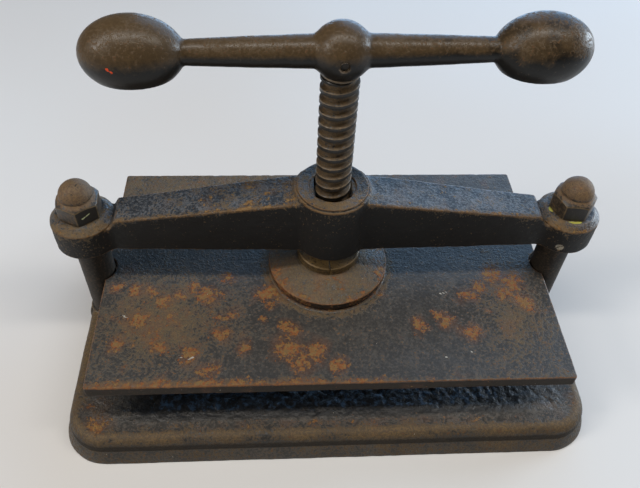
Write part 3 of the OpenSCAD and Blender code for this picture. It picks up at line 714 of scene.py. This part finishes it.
# The cap nuts
# Two cast domed nuts with blind threads that hold the yoke down on the pillars.
# Their corners are rounded by spanners; the domes are brown, the flats darker.

cap_af = 34.4
cap_h = cap_high[2] - cap_low[2]
dome_r = 14.2
shoulder_z = 19.2
dome_z = shoulder_z + 1.4
shoulder_slope = 0.8
corner_round = 13
nut_columns = 216


def cap_nut(side, turn):
    """Upright, then a cone, a shallow groove and a dome, over an angle round and a share of the way up.
    The hexagon's radius is its flats' half width over the cosine of the angle from a flat, with the
    corners eased by adding a circle to it as a high power."""
    angle = np.linspace(0, 2 * np.pi, nut_columns, endpoint=False)
    from_flat = (angle - np.radians(turn)) % (np.pi / 3) - np.pi / 6
    corner_r = cap_af / 2 / np.cos(np.pi / 6)
    hex_r = cap_af / 2 / np.cos(from_flat)
    hex_r = (hex_r ** -corner_round + corner_r ** -corner_round) ** (-1 / corner_round) * 1.018
    cone_z = shoulder_z - shoulder_slope * (hex_r - dome_r)
    up = np.linspace(0, 1, 20)[:, None]
    side_rows = spread(hex_r, 0.3 + up * (cone_z - 0.7))
    across = np.linspace(0, 1, 12)[1:, None]
    cone_rows = spread(hex_r - 0.3 + across * (dome_r + 0.5 - hex_r), cone_z + across * (shoulder_z - cone_z))
    groove = np.array([(dome_r - 0.05, 0.3), (dome_r - 0.4, 0.7), (dome_r - 0.3, 1.2)])[:, None]
    groove_rows = np.broadcast_to(groove + [0, shoulder_z], (3, len(angle), 2))
    lift = np.radians(np.linspace(-3, 86, 32))[:, None] + 0 * angle
    dome_rows = np.stack([dome_r * np.cos(lift), dome_z + (cap_h - dome_z) * np.sin(lift)], -1)
    seat = spread(hex_r - 0.5, 0 * hex_r)[None]
    rows = np.concatenate([seat, side_rows, cone_rows, groove_rows, dome_rows])
    x = side * pillar_x + rows[..., 0] * np.cos(angle)
    return np.stack([x, rows[..., 0] * np.sin(angle), eye_seat_z + rows[..., 1]], -1)


nut_iron = patina("nut_patina", ((44, 38, 31), (70, 59, 46)), ((120, 94, 62), (96, 75, 53)),
                  ((112, 70, 40), (132, 96, 58)), (108, 88, 58), soot=(26, 21, 16),
                  paint=(180, 186, 140), gloss=0.4, soot_and_shade_gloss=0.5, relief_mm=0.35, shift=31.0)
for name, side, turn, dark_facet in (("left_cap_nut", -1, -26, 304), ("right_cap_nut", 1, -9, 261)):
    skin = cap_nut(side, turn)
    local = skin - [side * pillar_x, 0, eye_seat_z]
    on_dome = ease(local[..., 2], shoulder_z + 0.5, shoulder_z + 4)
    on_cone = bell(local[..., 2], shoulder_z, 2)
    on_flats = ease(local[..., 2], shoulder_z - 2, shoulder_z - 4)
    bearing = np.degrees(np.arctan2(local[..., 1], local[..., 0])) % 360
    # Painted shade: one flat on each nut is darkened with the soot colour and has less bloom
    shaded = on_flats * ease(np.abs(bearing - dark_facet), 31, 28)
    mark = local - [9.5, -15.3, 9]
    along = mark @ np.array([0.8, 0.45, 0.4])
    scratch = 1.2 * np.exp(-(np.sum(mark ** 2, -1) - along ** 2) / 1.2) * (np.abs(along) < 4.6) * (side < 0)
    patch = np.exp(-np.sum((local - [-4, -6, 31]) ** 2, -1) / 40) * (side > 0)
    nut_rust = 0.05 * on_dome + 0.3 * on_cone + 0.5 * patch
    nut_bloom = 0.9 * np.maximum(on_dome, on_cone) + 0.1 - 0.6 * shaded
    nut = cast_shell(skin, ((9, 0.14), (3.2, 0.09), (1.6, 0.04)), 37, rust=nut_rust, soot=0.9 * shaded,
                     bloom=nut_bloom, paint=scratch)
    piece(name + "_cast", [nut], "frame", nut_iron, [name])


# The screw
# A turned steel spindle with a coarse single-start thread, a collar and neck at its foot.
# The crests are rubbed bright by the bush, with a painted highlight on their upper edges, the roots are brown
# with old oil, and the lower flanks are painted dark as shade.

screw_low, screw_high = corners_of("screw")
lead = 10.4
thread_r = screw_high[0]
thread_depth = 3.2
crest_w = 3.4
flank_up = 2.3
flank_low = 0.8
keeper_low, keeper_high = corners_of("right_keeper")
keeper_top, hub_top = keeper_high[2], keeper_low[2]
thread_z = keeper_top + 1
collar_r = 14.6
neck_r = 10
foot_z = screw_low[2]
handle_low, handle_high = corners_of("handle")
ball_r = 21.55
ball_z = (handle_low[2] + handle_high[2]) / 2
neck_z = ball_z - np.sqrt(ball_r ** 2 - collar_r ** 2)
turn_steps = 96
spindle_columns = 110
root_w = lead - crest_w - flank_up - flank_low

# One lead of the thread, from the middle of a root: how far along, denser on the flanks
one_lead = np.concatenate([
    np.linspace(0, root_w / 2, 6)[:-1], root_w / 2 + np.linspace(0, flank_low, 9)[:-1],
    root_w / 2 + flank_low + np.linspace(0, crest_w, 8)[:-1],
    root_w / 2 + flank_low + crest_w + np.linspace(0, flank_up, 10)[:-1],
    lead - root_w / 2 + np.linspace(0, root_w / 2, 6)[:-1]])
leads = int(np.ceil((neck_z - thread_z) / lead)) + 2
along = (np.arange(leads)[:, None] * lead + one_lead).ravel()[:, None]
twist = np.arange(turn_steps) / turn_steps
crest_middle = root_w / 2 + flank_low + crest_w / 2
up_lead = along % lead - crest_middle
flank = np.where(up_lead > 0, flank_up, flank_low)
on_ridge = ease((crest_w / 2 + flank - np.abs(up_lead)) / flank, 0, 1)
thread_turn = thread_z + 3.5 - crest_middle
height = along + lead * (twist - 1) + thread_turn - lead * np.round((thread_turn - thread_z) / lead)
fade = ease(height, thread_z + 0.5, thread_z + 3.5) * ease(height, neck_z - 1.5, neck_z - 3.5)
radius = thread_r - thread_depth * (1 - on_ridge * fade)
height = np.clip(height, thread_z, neck_z)
angle = 2 * np.pi * twist
thread_skin = spread(radius * np.cos(angle), radius * np.sin(angle), height)


def helical_shell(points, fields, step):
    """A grid whose last column meets its first one a lead higher, so each row runs on as a helix. Faces
    that lie flat where the helix is cut off are left out, and a fan closes each end on the axis."""
    rows, columns = points.shape[:2]
    index = np.arange(rows * columns).reshape(rows, columns)
    joined = np.concatenate([index[:-step], index[step:, :1]], 1)
    here, right = joined[:, :-1], joined[:, 1:]
    quads = np.stack([here[:-1], right[:-1], right[1:], here[1:]], -1).reshape(-1, 4)
    corners = points.reshape(-1, 3)
    quads = quads[np.ptp(corners[quads, 2], axis=1) > 0]
    edges = np.stack([quads, np.roll(quads, -1, 1)], -1).reshape(-1, 2)
    _, place, count = np.unique(np.sort(edges, 1), axis=0, return_index=True, return_counts=True)
    rim = edges[place[count == 1]]
    middle = corners[:, 2].mean()
    top = corners[rim, 2].mean(1) > middle
    tips = np.array([[0, 0, corners[:, 2].min()], [0, 0, corners[:, 2].max()]])
    fans = np.c_[rim[:, ::-1], len(corners) + top]
    corners = np.concatenate([corners, tips])
    used, renumbered = np.unique(np.concatenate([quads.ravel(), fans.ravel()]), return_inverse=True)
    quads, fans = renumbered[:quads.size].reshape(-1, 4), renumbered[quads.size:].reshape(-1, 3)
    values = {name: np.append(np.broadcast_to(value, (rows, columns)), [0, 0])[used]
              for name, value in fields.items()}
    return {"corners": corners[used], "quads": quads, "fans": fans, "fields": values}


half_crest = crest_w / 2
# The crest's upper edge takes the worn colour: rubbing by the bush, and a painted highlight where it faces up
thread_wear_and_highlight = 0.9 * bell(up_lead, half_crest, 0.45)
thread_bloom = ease(up_lead, half_crest, half_crest + 0.8) - 0.1
thread_bloom = thread_bloom + 0.5 * ease(-up_lead, half_crest + flank_low, half_crest + flank_low + 1)
# Painted shade on the lower half of each crest and on the flank under it
thread_painted_shade = 0.7 * ease(-up_lead, -half_crest + 0.6, half_crest)
thread_painted_shade = thread_painted_shade * ease(up_lead, -half_crest - flank_low - 1.6, -half_crest)
rough_turning = 0.05 * lattice_noise(thread_skin, 2.5, 41)
thread_skin = thread_skin + rough_turning[..., None] * spread(np.cos(angle), np.sin(angle), 0 * height)
thread_fields = {"wear": thread_wear_and_highlight * fade, "bloom": thread_bloom, "recess": thread_painted_shade}
screw_thread = helical_shell(thread_skin, thread_fields, len(one_lead))
foot_profile = np.concatenate([
    [(2, foot_z), (collar_r - 1, foot_z), (collar_r, foot_z + 1), (collar_r, hub_top - 0.5)],
    [(neck_r, hub_top - 0.3), (neck_r, hub_top + 4.3)],
    [(collar_r - 0.5, hub_top + 4.4), (collar_r, hub_top + 5)],
    arc((collar_r - 0.6, keeper_top + 0.6), 0.6, 0, 90, 4),
    [(thread_r - thread_depth - 0.4, keeper_top + 1.2), (2, keeper_top + 1.2)],
])
top_profile = np.concatenate([
    [(2, neck_z - 2.2), (collar_r - 0.6, neck_z - 2.2)],
    arc((collar_r - 0.6, neck_z - 1.6), 0.6, -90, 0, 4),
    [(collar_r, neck_z - 0.3), (collar_r - 0.4, neck_z), (2, neck_z)],
])
screw_ends = [cast_shell(turned(stepped(end, 1.5), spindle_columns), ((3, 0.05),), 43)
              for end in (foot_profile, top_profile)]
screw_steel = patina("screw_steel", ((16, 15, 13), (30, 27, 23)), ((98, 74, 38), (76, 58, 32)),
                     ((106, 74, 36), (122, 90, 48)), (134, 114, 88), gloss=0.32, relief_mm=0.25,
                     shift=37.0)
piece("screw_spindle", [screw_thread, *screw_ends], "spindle", screw_steel, ["screw"])


# The handle
# One iron casting: a ball with two tapering arms that end in egg-shaped weights.
# A driven pin through the ball holds it on the screw; hands have polished it, a stain darkens its right half
# and its underside is painted dark as shade.

handle_half = 183.5
handle_turn = np.radians(1.7)
egg_len = 73.2
egg_r = 26.55
arm_r_in, arm_r_out = 13, 9
pin_r = 3.6
pin_sink = 3
handle_columns = 220
egg_middle = handle_half - egg_len / 2
neck_x = handle_half - egg_len
egg_angle = np.radians(np.linspace(18, 179, 78))
egg_run = egg_middle - egg_len / 2 * np.cos(egg_angle)
half_run = np.concatenate([np.linspace(0, 26, 46)[:-1], np.linspace(26, egg_run[0], 58)[:-1], egg_run])
run = np.concatenate([-half_run[:0:-1], half_run])
reach = np.abs(run)


def joined(a, b, power):
    """Two radii run into each other as the root of the sum of their powers, which leaves a fillet."""
    return (a ** power + b ** power) ** (1 / power)


egg_share = np.clip((reach - egg_middle) / (egg_len / 2), -1, 1)
egg = egg_r * np.sqrt(1 - egg_share ** 2)
arm = arm_r_in + (arm_r_out - arm_r_in) * np.clip(reach / neck_x, 0, 1)
arm *= np.sqrt(np.clip((egg_middle - reach) / 20, 0, 1))
ball = ball_r * np.sqrt(np.clip(1 - (reach / ball_r) ** 2, 0, 1))
handle_radius = joined(joined(ball, arm, 6), egg, 6)[:, None]
around = np.linspace(0, 2 * np.pi, handle_columns, endpoint=False)
handle_skin = spread(run[:, None], handle_radius * np.cos(around), handle_radius * np.sin(around))

# The pin's hole, front and back
for way in (-1, 1):
    handle_skin = sink_hole(handle_skin, (0, 0, 0), (0, way, 0), pin_r, pin_sink, 12)

handle_normals = outward(handle_skin)
handle_relief = relief(handle_skin, ((34, 0.22), (11, 0.1), (3.4, 0.06)), 51)
handle_skin = handle_skin + handle_normals * handle_relief[..., None]
handle_skin[..., 2] = np.maximum(handle_skin[..., 2], neck_z - ball_z)
handle_x, handle_y, handle_z = np.moveaxis(handle_skin, -1, 0)
cos_t, sin_t = np.cos(handle_turn), np.sin(handle_turn)
handle_placed = np.stack([handle_x * cos_t - handle_y * sin_t, handle_x * sin_t + handle_y * cos_t,
                          handle_z + ball_z], -1)

# Two spots of paint on the left weight, a painted highlight on the lower rim of the pin's hole, painted shade
# below
spots = np.zeros_like(handle_x)
for x, y, z, size in ((-159.5, -24.4, 3.1, 1.6), (-156.8, -25.3, 0.9, 1.4)):
    spots += bell(np.linalg.norm(handle_skin - [x, y, z], axis=-1), 0, size)
from_pin = np.hypot(handle_x, handle_z) - pin_r
# Painted highlight: the lower front rim of the pin's hole takes the worn colour
lit_hole_rim = bell(from_pin, 0.5, 0.8) * (handle_z < -1.5) * (handle_y < 0)
# Painted shade: faces turned down and towards the front are darkened with the soot colour and lose bloom
underside_shade = 0.9 * ease(-handle_normals[..., 2] - 0.35 * handle_normals[..., 1], -0.2, 0.6)
stained = 0.42 * ease(handle_x, 10, 110) * ease(lattice_noise(handle_skin, 9, 55), -0.9, 0.5)
handle_bloom = 0.25 + 0.2 * lattice_noise(handle_skin, 30, 54)
handle_iron = patina("handle_patina", ((76, 60, 40), (84, 67, 44)), ((90, 71, 45), (82, 66, 44)),
                     ((104, 66, 32), (120, 80, 42)), (146, 128, 108), soot=(12, 11, 9),
                     paint=(222, 70, 12), gloss=0.33, soot_and_shade_gloss=0.36, relief_mm=0.35, shine=0.36,
                     pitted=0.2, shift=43.0)
handle_fields = {"wear": 0.9 * lit_hole_rim, "rust": 0.14 * lattice_noise(handle_skin, 24, 53),
                 "bloom": handle_bloom - underside_shade, "soot": underside_shade + stained, "paint": np.clip(spots, 0, 1)}
handle = shell(handle_placed, handle_fields)
piece("handle_casting", [handle], "spindle", handle_iron, ["handle"])

pin_grime = patina("pin_grime", ((40, 33, 25), (58, 47, 35)), ((70, 56, 38), (58, 48, 35)),
                   ((60, 42, 26), (70, 50, 30)), (60, 50, 38), gloss=0.6, relief_mm=0.2, shift=47.0)
refinish("handle_pin", pin_grime)


# The platen
# One iron casting: a flat plate notched for the pillars, with a low cone for the screw's foot.
# Its top has dark waxed skin under orange flakes of rust; the front edge is rubbed brown.

platen_low, platen_high = corners_of("platen")
plate_half_w, plate_half_d = platen_high[0], platen_high[1]
plate_z = platen_low[2]
plate_t = 12
plate_top = plate_z + plate_t
hub_r = 56
hub_edge_z = plate_top + 10.8
hub_fillet = 2.8
hub_groove = 1.2
socket_r = 15
socket_z = hub_top - 18
notch_r = pillar_r + 1.5
plate_corner = 2.5
plate_edge = 1.1
plate_row_count = 56

# Outline of the plate from the right notch round: quarter by quarter, with the notches as arcs
notch_y = np.sqrt(notch_r ** 2 - (pillar_x - plate_half_w) ** 2)
notch_turn = np.degrees(np.arcsin(notch_y / notch_r))
right_notch = arc((pillar_x, 0), notch_r, 180 + notch_turn, 180 - notch_turn, 25)
corner_x, corner_y = plate_half_w - plate_corner, plate_half_d - plate_corner
half_outline = np.concatenate([
    right_notch, arc((corner_x, corner_y), plate_corner, 0, 90, 6),
    arc((-corner_x, corner_y), plate_corner, 90, 180, 6)])
outline = stepped(np.concatenate([half_outline, -half_outline, half_outline[:1]]), 1.75)[:-1]
ahead = np.roll(outline, -1, 0) - np.roll(outline, 1, 0)
edge_normal = np.c_[ahead[:, 1], -ahead[:, 0]] / np.linalg.norm(ahead, axis=1)[:, None]
bearing = np.arctan2(outline[:, 1], outline[:, 0])
ray = np.c_[np.cos(bearing), np.sin(bearing)]

fillet_r = hub_r - hub_groove + hub_fillet
hub_profile = np.concatenate([
    stepped([(4, socket_z), (socket_r, socket_z), (socket_r, hub_top - 0.6), (socket_r + 0.6, hub_top)], 6),
    stepped([(29, hub_top), (31, hub_top - 0.3), (hub_r - 1, hub_edge_z)], 1.7),
    arc((hub_r - 0.9, hub_edge_z - 0.9), 0.9, 75, 0, 4),
    stepped([(hub_r, hub_edge_z - 1.4), (hub_r, plate_top + hub_fillet + hub_groove + 0.4)], 1),
    [(hub_r - 0.4, plate_top + hub_fillet + hub_groove)],
    [(hub_r - hub_groove, plate_top + hub_fillet + 0.4)],
    arc((fillet_r, plate_top + hub_fillet), hub_fillet, 180, 265, 6),
])
hub_rows = spread(hub_profile[:, :1] * ray[:, 0], hub_profile[:, :1] * ray[:, 1], hub_profile[:, 1:])


def plate_rows(share, inset, z):
    """Rows between a circle round the hub and the outline drawn in by the inset, at height z."""
    edge = outline - edge_normal * inset
    flat = ray * (fillet_r + 0.6) * (1 - share)[:, None, None] + edge * share[:, None, None]
    return np.concatenate([flat, np.full((*flat.shape[:2], 1), z)], -1)


def edge_rows(path):
    """The outline carried down the plate's side: pairs of inset and height."""
    flat = outline - edge_normal * path[:, :1, None]
    return np.concatenate([flat, np.broadcast_to(path[:, 1:, None], (*flat.shape[:2], 1))], -1)


edge_path = np.concatenate([
    arc((plate_edge, plate_top - plate_edge), plate_edge, 100, 180, 5),
    stepped([(0, plate_top - plate_edge - 1), (0, plate_z + plate_edge + 1)], 1.4),
    arc((plate_edge, plate_z + plate_edge), plate_edge, 180, 260, 4)])
middle_ring = np.c_[ray * 8, np.full(len(ray), plate_z)]
platen_skin = np.concatenate([
    hub_rows, plate_rows(np.linspace(0, 1, plate_row_count), plate_edge + 0.5, plate_top),
    edge_rows(edge_path), plate_rows(np.linspace(1, 0, 4), plate_edge + 0.4, plate_z), [middle_ring]])

# Where the larger flakes of rust lie on the top: x, y and size in millimetres
rust_patches = (
    (-112, -34, 10), (-95, -11, 6), (-127, -25, 6), (-138, -35, 5), (-152, -40, 7), (-60, -35, 9),
    (-54, -46, 6), (-89, -58, 6), (-101, -59, 5), (-98, -76, 6), (-38, -74, 8), (-77, -92, 7),
    (-38, -97, 12), (-16, -99, 10), (-26, -110, 8), (-124, -98, 7), (-107, -116, 8), (4, -113, 7),
    (80, -74, 7), (98, -60, 6), (105, -69, 7), (126, -83, 8), (131, -40, 8), (144, -31, 7),
    (160, -16, 9), (176, -24, 9), (168, -38, 7), (181, -48, 8), (-180, -28, 6), (-196, -23, 5),
    (-166, -31, 5), (-170, -62, 8), (-190, -88, 8), (-150, -92, 7), (-62, -62, 5))
flat_place = platen_skin[..., :2]
across_x, across_y, platen_z = np.moveaxis(platen_skin, -1, 0)
wavy = flat_place + 4.5 * np.stack([lattice_noise(platen_skin, 11, seed) for seed in (61, 62)], -1)
rust = np.full_like(platen_z, -0.4)
for x, y, size in rust_patches:
    away = np.hypot(wavy[..., 0] - x, wavy[..., 1] - y) / size
    rust = np.maximum(rust, 0.92 - 0.5 * away)
left_bloom = bell(across_x, -150, 75) * bell(across_y, -62, 62)
right_bloom = bell(across_x, 170, 42) * bell(across_y, -60, 70)
front_band = ease(-across_y, plate_half_d - 11, plate_half_d - 2) * (0.75 - 0.55 * ease(across_x, 0, 120))
scatter = relief(platen_skin, ((12, 0.3), (5, 0.25)), 63)
rear_rust = 0.2 * ease(across_y, 20, 50)
rust = np.maximum(rust, 0.5 * left_bloom + 0.35 * right_bloom + front_band + rear_rust + scatter - 0.28)
from_axis = np.hypot(across_x, across_y)
on_hub = (from_axis < fillet_r) & (platen_z > plate_top + 0.5)
hub_low = bell(from_axis, hub_r, 12)
hub_rust = 0.25 * hub_low + 0.06 + relief(platen_skin, ((10, 0.35), (4, 0.2)), 65)
hub_foot = 0.4 * bell(from_axis, fillet_r + 2, 5)
# Painted shade: the hub's low wall, above the groove at its foot, is darkened with the soot colour and loses
# bloom
hub_wall = ease(from_axis, hub_r - 1.6, hub_r - 1) * ease(-platen_z, 1 - hub_edge_z, 1.6 - hub_edge_z)
hub_wall = hub_wall * ease(platen_z, plate_top + 0.8, plate_top + 2) * on_hub
rust = np.where(on_hub, hub_rust, rust + hub_foot)
rust = np.where(platen_z < plate_top - 2, -0.05 + 0.3 * lattice_noise(platen_skin, 12, 67), rust)
hub_bloom = on_hub * (0.9 - 0.55 * ease(across_x, 25, 55))
far_bloom = 0.75 * ease(across_y, 30, 60) * ease(-across_x, -150, 40)
bloom = 0.9 * left_bloom + 0.75 * right_bloom + hub_bloom + hub_foot * 2 + far_bloom + front_band
bloom = np.clip(bloom, 0, 1) - 0.1

# Short pale strokes, as left by chalk: where each begins and ends
strokes = np.zeros_like(rust)
for x, y, x_end, y_end in ((-188, -55, -183, -59), (-133, -100, -129, -103), (-125, -104, -120, -101),
                           (105, -37, 113, -35), (97, -106, 99, -107), (120, -101, 122, -102)):
    heading = np.array([x_end - x, y_end - y])
    share = np.clip(((flat_place - [x, y]) @ heading) / (heading @ heading), 0, 1)
    off = np.linalg.norm(flat_place - [x, y] - share[..., None] * heading, axis=-1)
    strokes = np.maximum(strokes, 0.95 * bell(off, 0, 1) * (platen_z > plate_top - 0.5))

platen_normals = outward(platen_skin)
platen_wear = np.clip(bend(platen_skin, platen_normals) * 0.9, 0, 1)
flaky = ease(rust + 0.5 * lattice_noise(platen_skin, 5, 68), 0.42, 0.56)
chips = -0.5 * platen_wear * ease(lattice_noise(platen_skin, 6, 69), 0.1, 0.7)
platen_relief = relief(platen_skin, ((60, 0.16), (14, 0.1), (4.5, 0.08), (2.4, 0.05)), 70)
platen_raised = platen_skin + platen_normals * (platen_relief + 0.16 * flaky + chips)[..., None]
# The plate's sides and underside are darkened with the soot colour and have less bloom
darker_sides = ease(plate_top - platen_z, 0.4, 2)
rear = ease(across_y, -30, 0)
scaly = 0.2 + 1.9 * rear + 0.5 * bloom
platen_iron = patina("platen_patina", ((57, 55, 53), (75, 72, 68)), ((110, 88, 54), (78, 68, 52)),
                     ((130, 74, 33), (126, 98, 54)), (118, 76, 38), soot=(38, 29, 19),
                     paint=(170, 166, 156), rusting=0.0, gloss=0.36, relief_mm=0.45, fleck=0.03, pitted=0.35,
                     shift=51.0)
platen_fields = {"rust": rust, "wear": 0.7 * platen_wear, "bloom": bloom - darker_sides - hub_wall,
                 "soot": np.maximum(darker_sides, hub_wall), "scaly": scaly, "paint": strokes}
platen = shell(platen_raised, platen_fields)
piece("platen_casting", [platen], "platen", platen_iron, ["platen"])


# The keepers
# A turned ring split in two, screwed down from under the platen, that holds the screw's neck.
# Golden-brown on top where oil has dried, dark at its side and in the slit.

keeper_r = keeper_high[0]
keeper_slit = 0.8
neck_hole_r = 10.4
collar_hole_r = 15
keeper_lip_z = hub_top + 4
keeper_rows = 80
section = stepped(np.concatenate([
    [(neck_hole_r, hub_top), (keeper_r - 0.5, hub_top)],
    [(keeper_r, hub_top + 0.6)],
    arc((keeper_r - 1.2, keeper_top - 1.2), 1.2, 0, 90, 6),
    arc((collar_hole_r + 0.8, keeper_top - 0.8), 0.8, 90, 180, 5),
    [(collar_hole_r, keeper_lip_z), (neck_hole_r + 0.3, keeper_lip_z), (neck_hole_r, keeper_lip_z - 0.3)],
    [(neck_hole_r, hub_top)]]), 1.1)[:-1]
keeper_iron = patina("keeper_patina", ((64, 51, 34), (104, 83, 51)), ((140, 111, 64), (120, 96, 58)),
                     ((116, 76, 36), (140, 100, 52)), (132, 106, 66), gloss=0.36, relief_mm=0.3,
                     shift=57.0)
for name, side in (("left_keeper", -1), ("right_keeper", 1)):
    open_turn = np.arcsin(keeper_slit / 2 / section[:, 0])
    sweep = np.linspace(-1, 1, keeper_rows)[:, None] * (np.pi / 2 - open_turn)
    ring = spread(side * section[:, 0] * np.cos(sweep), section[:, 0] * np.sin(sweep), section[:, 1])
    top_stain = 0.9 * ease(ring[..., 2], keeper_top - 1, keeper_top) - 0.1
    half_ring = cast_shell(ring, ((7, 0.08), (2.6, 0.05)), 71, bloom=top_stain)
    piece(name + "_ring", [half_ring], "platen", keeper_iron, [name])


# The floor, the light and the camera
# A plain pale floor and soft studio light from above, from both sides and from behind.
# The camera looks down from the front, as the photograph was taken.

floor_size = 6.0
floor_mesh = bpy.data.meshes.new("floor")
floor_corners = np.array([(-1, -1, 0), (1, -1, 0), (1, 1, 0), (-1, 1, 0)]) * floor_size
floor_mesh.from_pydata(floor_corners.tolist(), [], [(0, 1, 2, 3)])
floor = set_up("floor", floor_mesh)
floor_paint, tree, shader, place = start_finish("floor_paint")
shade = span(cloud(place, 900, 2.0), 0.3, 0.7)
feed(shader, {"Base Color": tint(shade, srgb(216, 210, 204), srgb(222, 222, 222)), "Roughness": 0.6})
floor_mesh.materials.append(floor_paint)

world = bpy.data.worlds.new("studio")
world.use_nodes = True
feed(world.node_tree.nodes["Background"], {"Color": (0.86, 0.93, 1.0, 1.0), "Strength": 0.08})
bpy.context.scene.world = world


def softbox(name, place, target, width, height, power, colour):
    """A rectangular lamp that faces its target."""
    lamp = bpy.data.lights.new(name, "AREA")
    lamp.shape = "RECTANGLE"
    lamp.size, lamp.size_y = width, height
    lamp.energy = power
    lamp.color = colour
    holder = set_up(name, lamp)
    holder.location = place
    holder.rotation_euler = (Vector(target) - Vector(place)).to_track_quat("-Z", "Y").to_euler()


softbox("overhead", (0.0, -0.42, 2.8), (0, -0.42, 0.0), 5.0, 0.3, 70, (1.0, 0.96, 0.9))
softbox("key_left", (-1.75, -0.6, 1.3), (0, 0, 0.15), 0.6, 0.6, 13, (1.0, 0.96, 0.92))
softbox("sky_behind", (1.25, 2.3, 1.5), (0, 0, 0.1), 3.0, 2.7, 40, (0.36, 0.63, 1.0))
softbox("window_right", (2.1, 0.75, 0.5), (0, 0, 0.25), 0.9, 0.5, 28, (0.74, 0.87, 1.0))
softbox("low_behind", (0.6, 2.2, 0.22), (0, 0, 0.05), 2.2, 0.3, 12, (0.4, 0.66, 1.0))

camera_place = Vector((-46.15, -418.46, 575.19)) * MM
camera_target = Vector((-7.21, 9.49, 100.0)) * MM
camera_roll = np.radians(3.243)
focal_px = 670.61
image_width_px = 640
camera_data = bpy.data.cameras.new("camera")
camera_data.sensor_width = 36
camera_data.lens = focal_px / image_width_px * camera_data.sensor_width
camera_data.clip_start = 0.01
camera = set_up("camera", camera_data)
aim = (camera_target - camera_place).to_track_quat("-Z", "Y").to_matrix().to_4x4()
camera.matrix_world = Matrix.Translation(camera_place) @ aim @ Matrix.Rotation(camera_roll, 4, "Z")
bpy.context.scene.camera = camera
bpy.context.scene.view_settings.view_transform = "Standard"
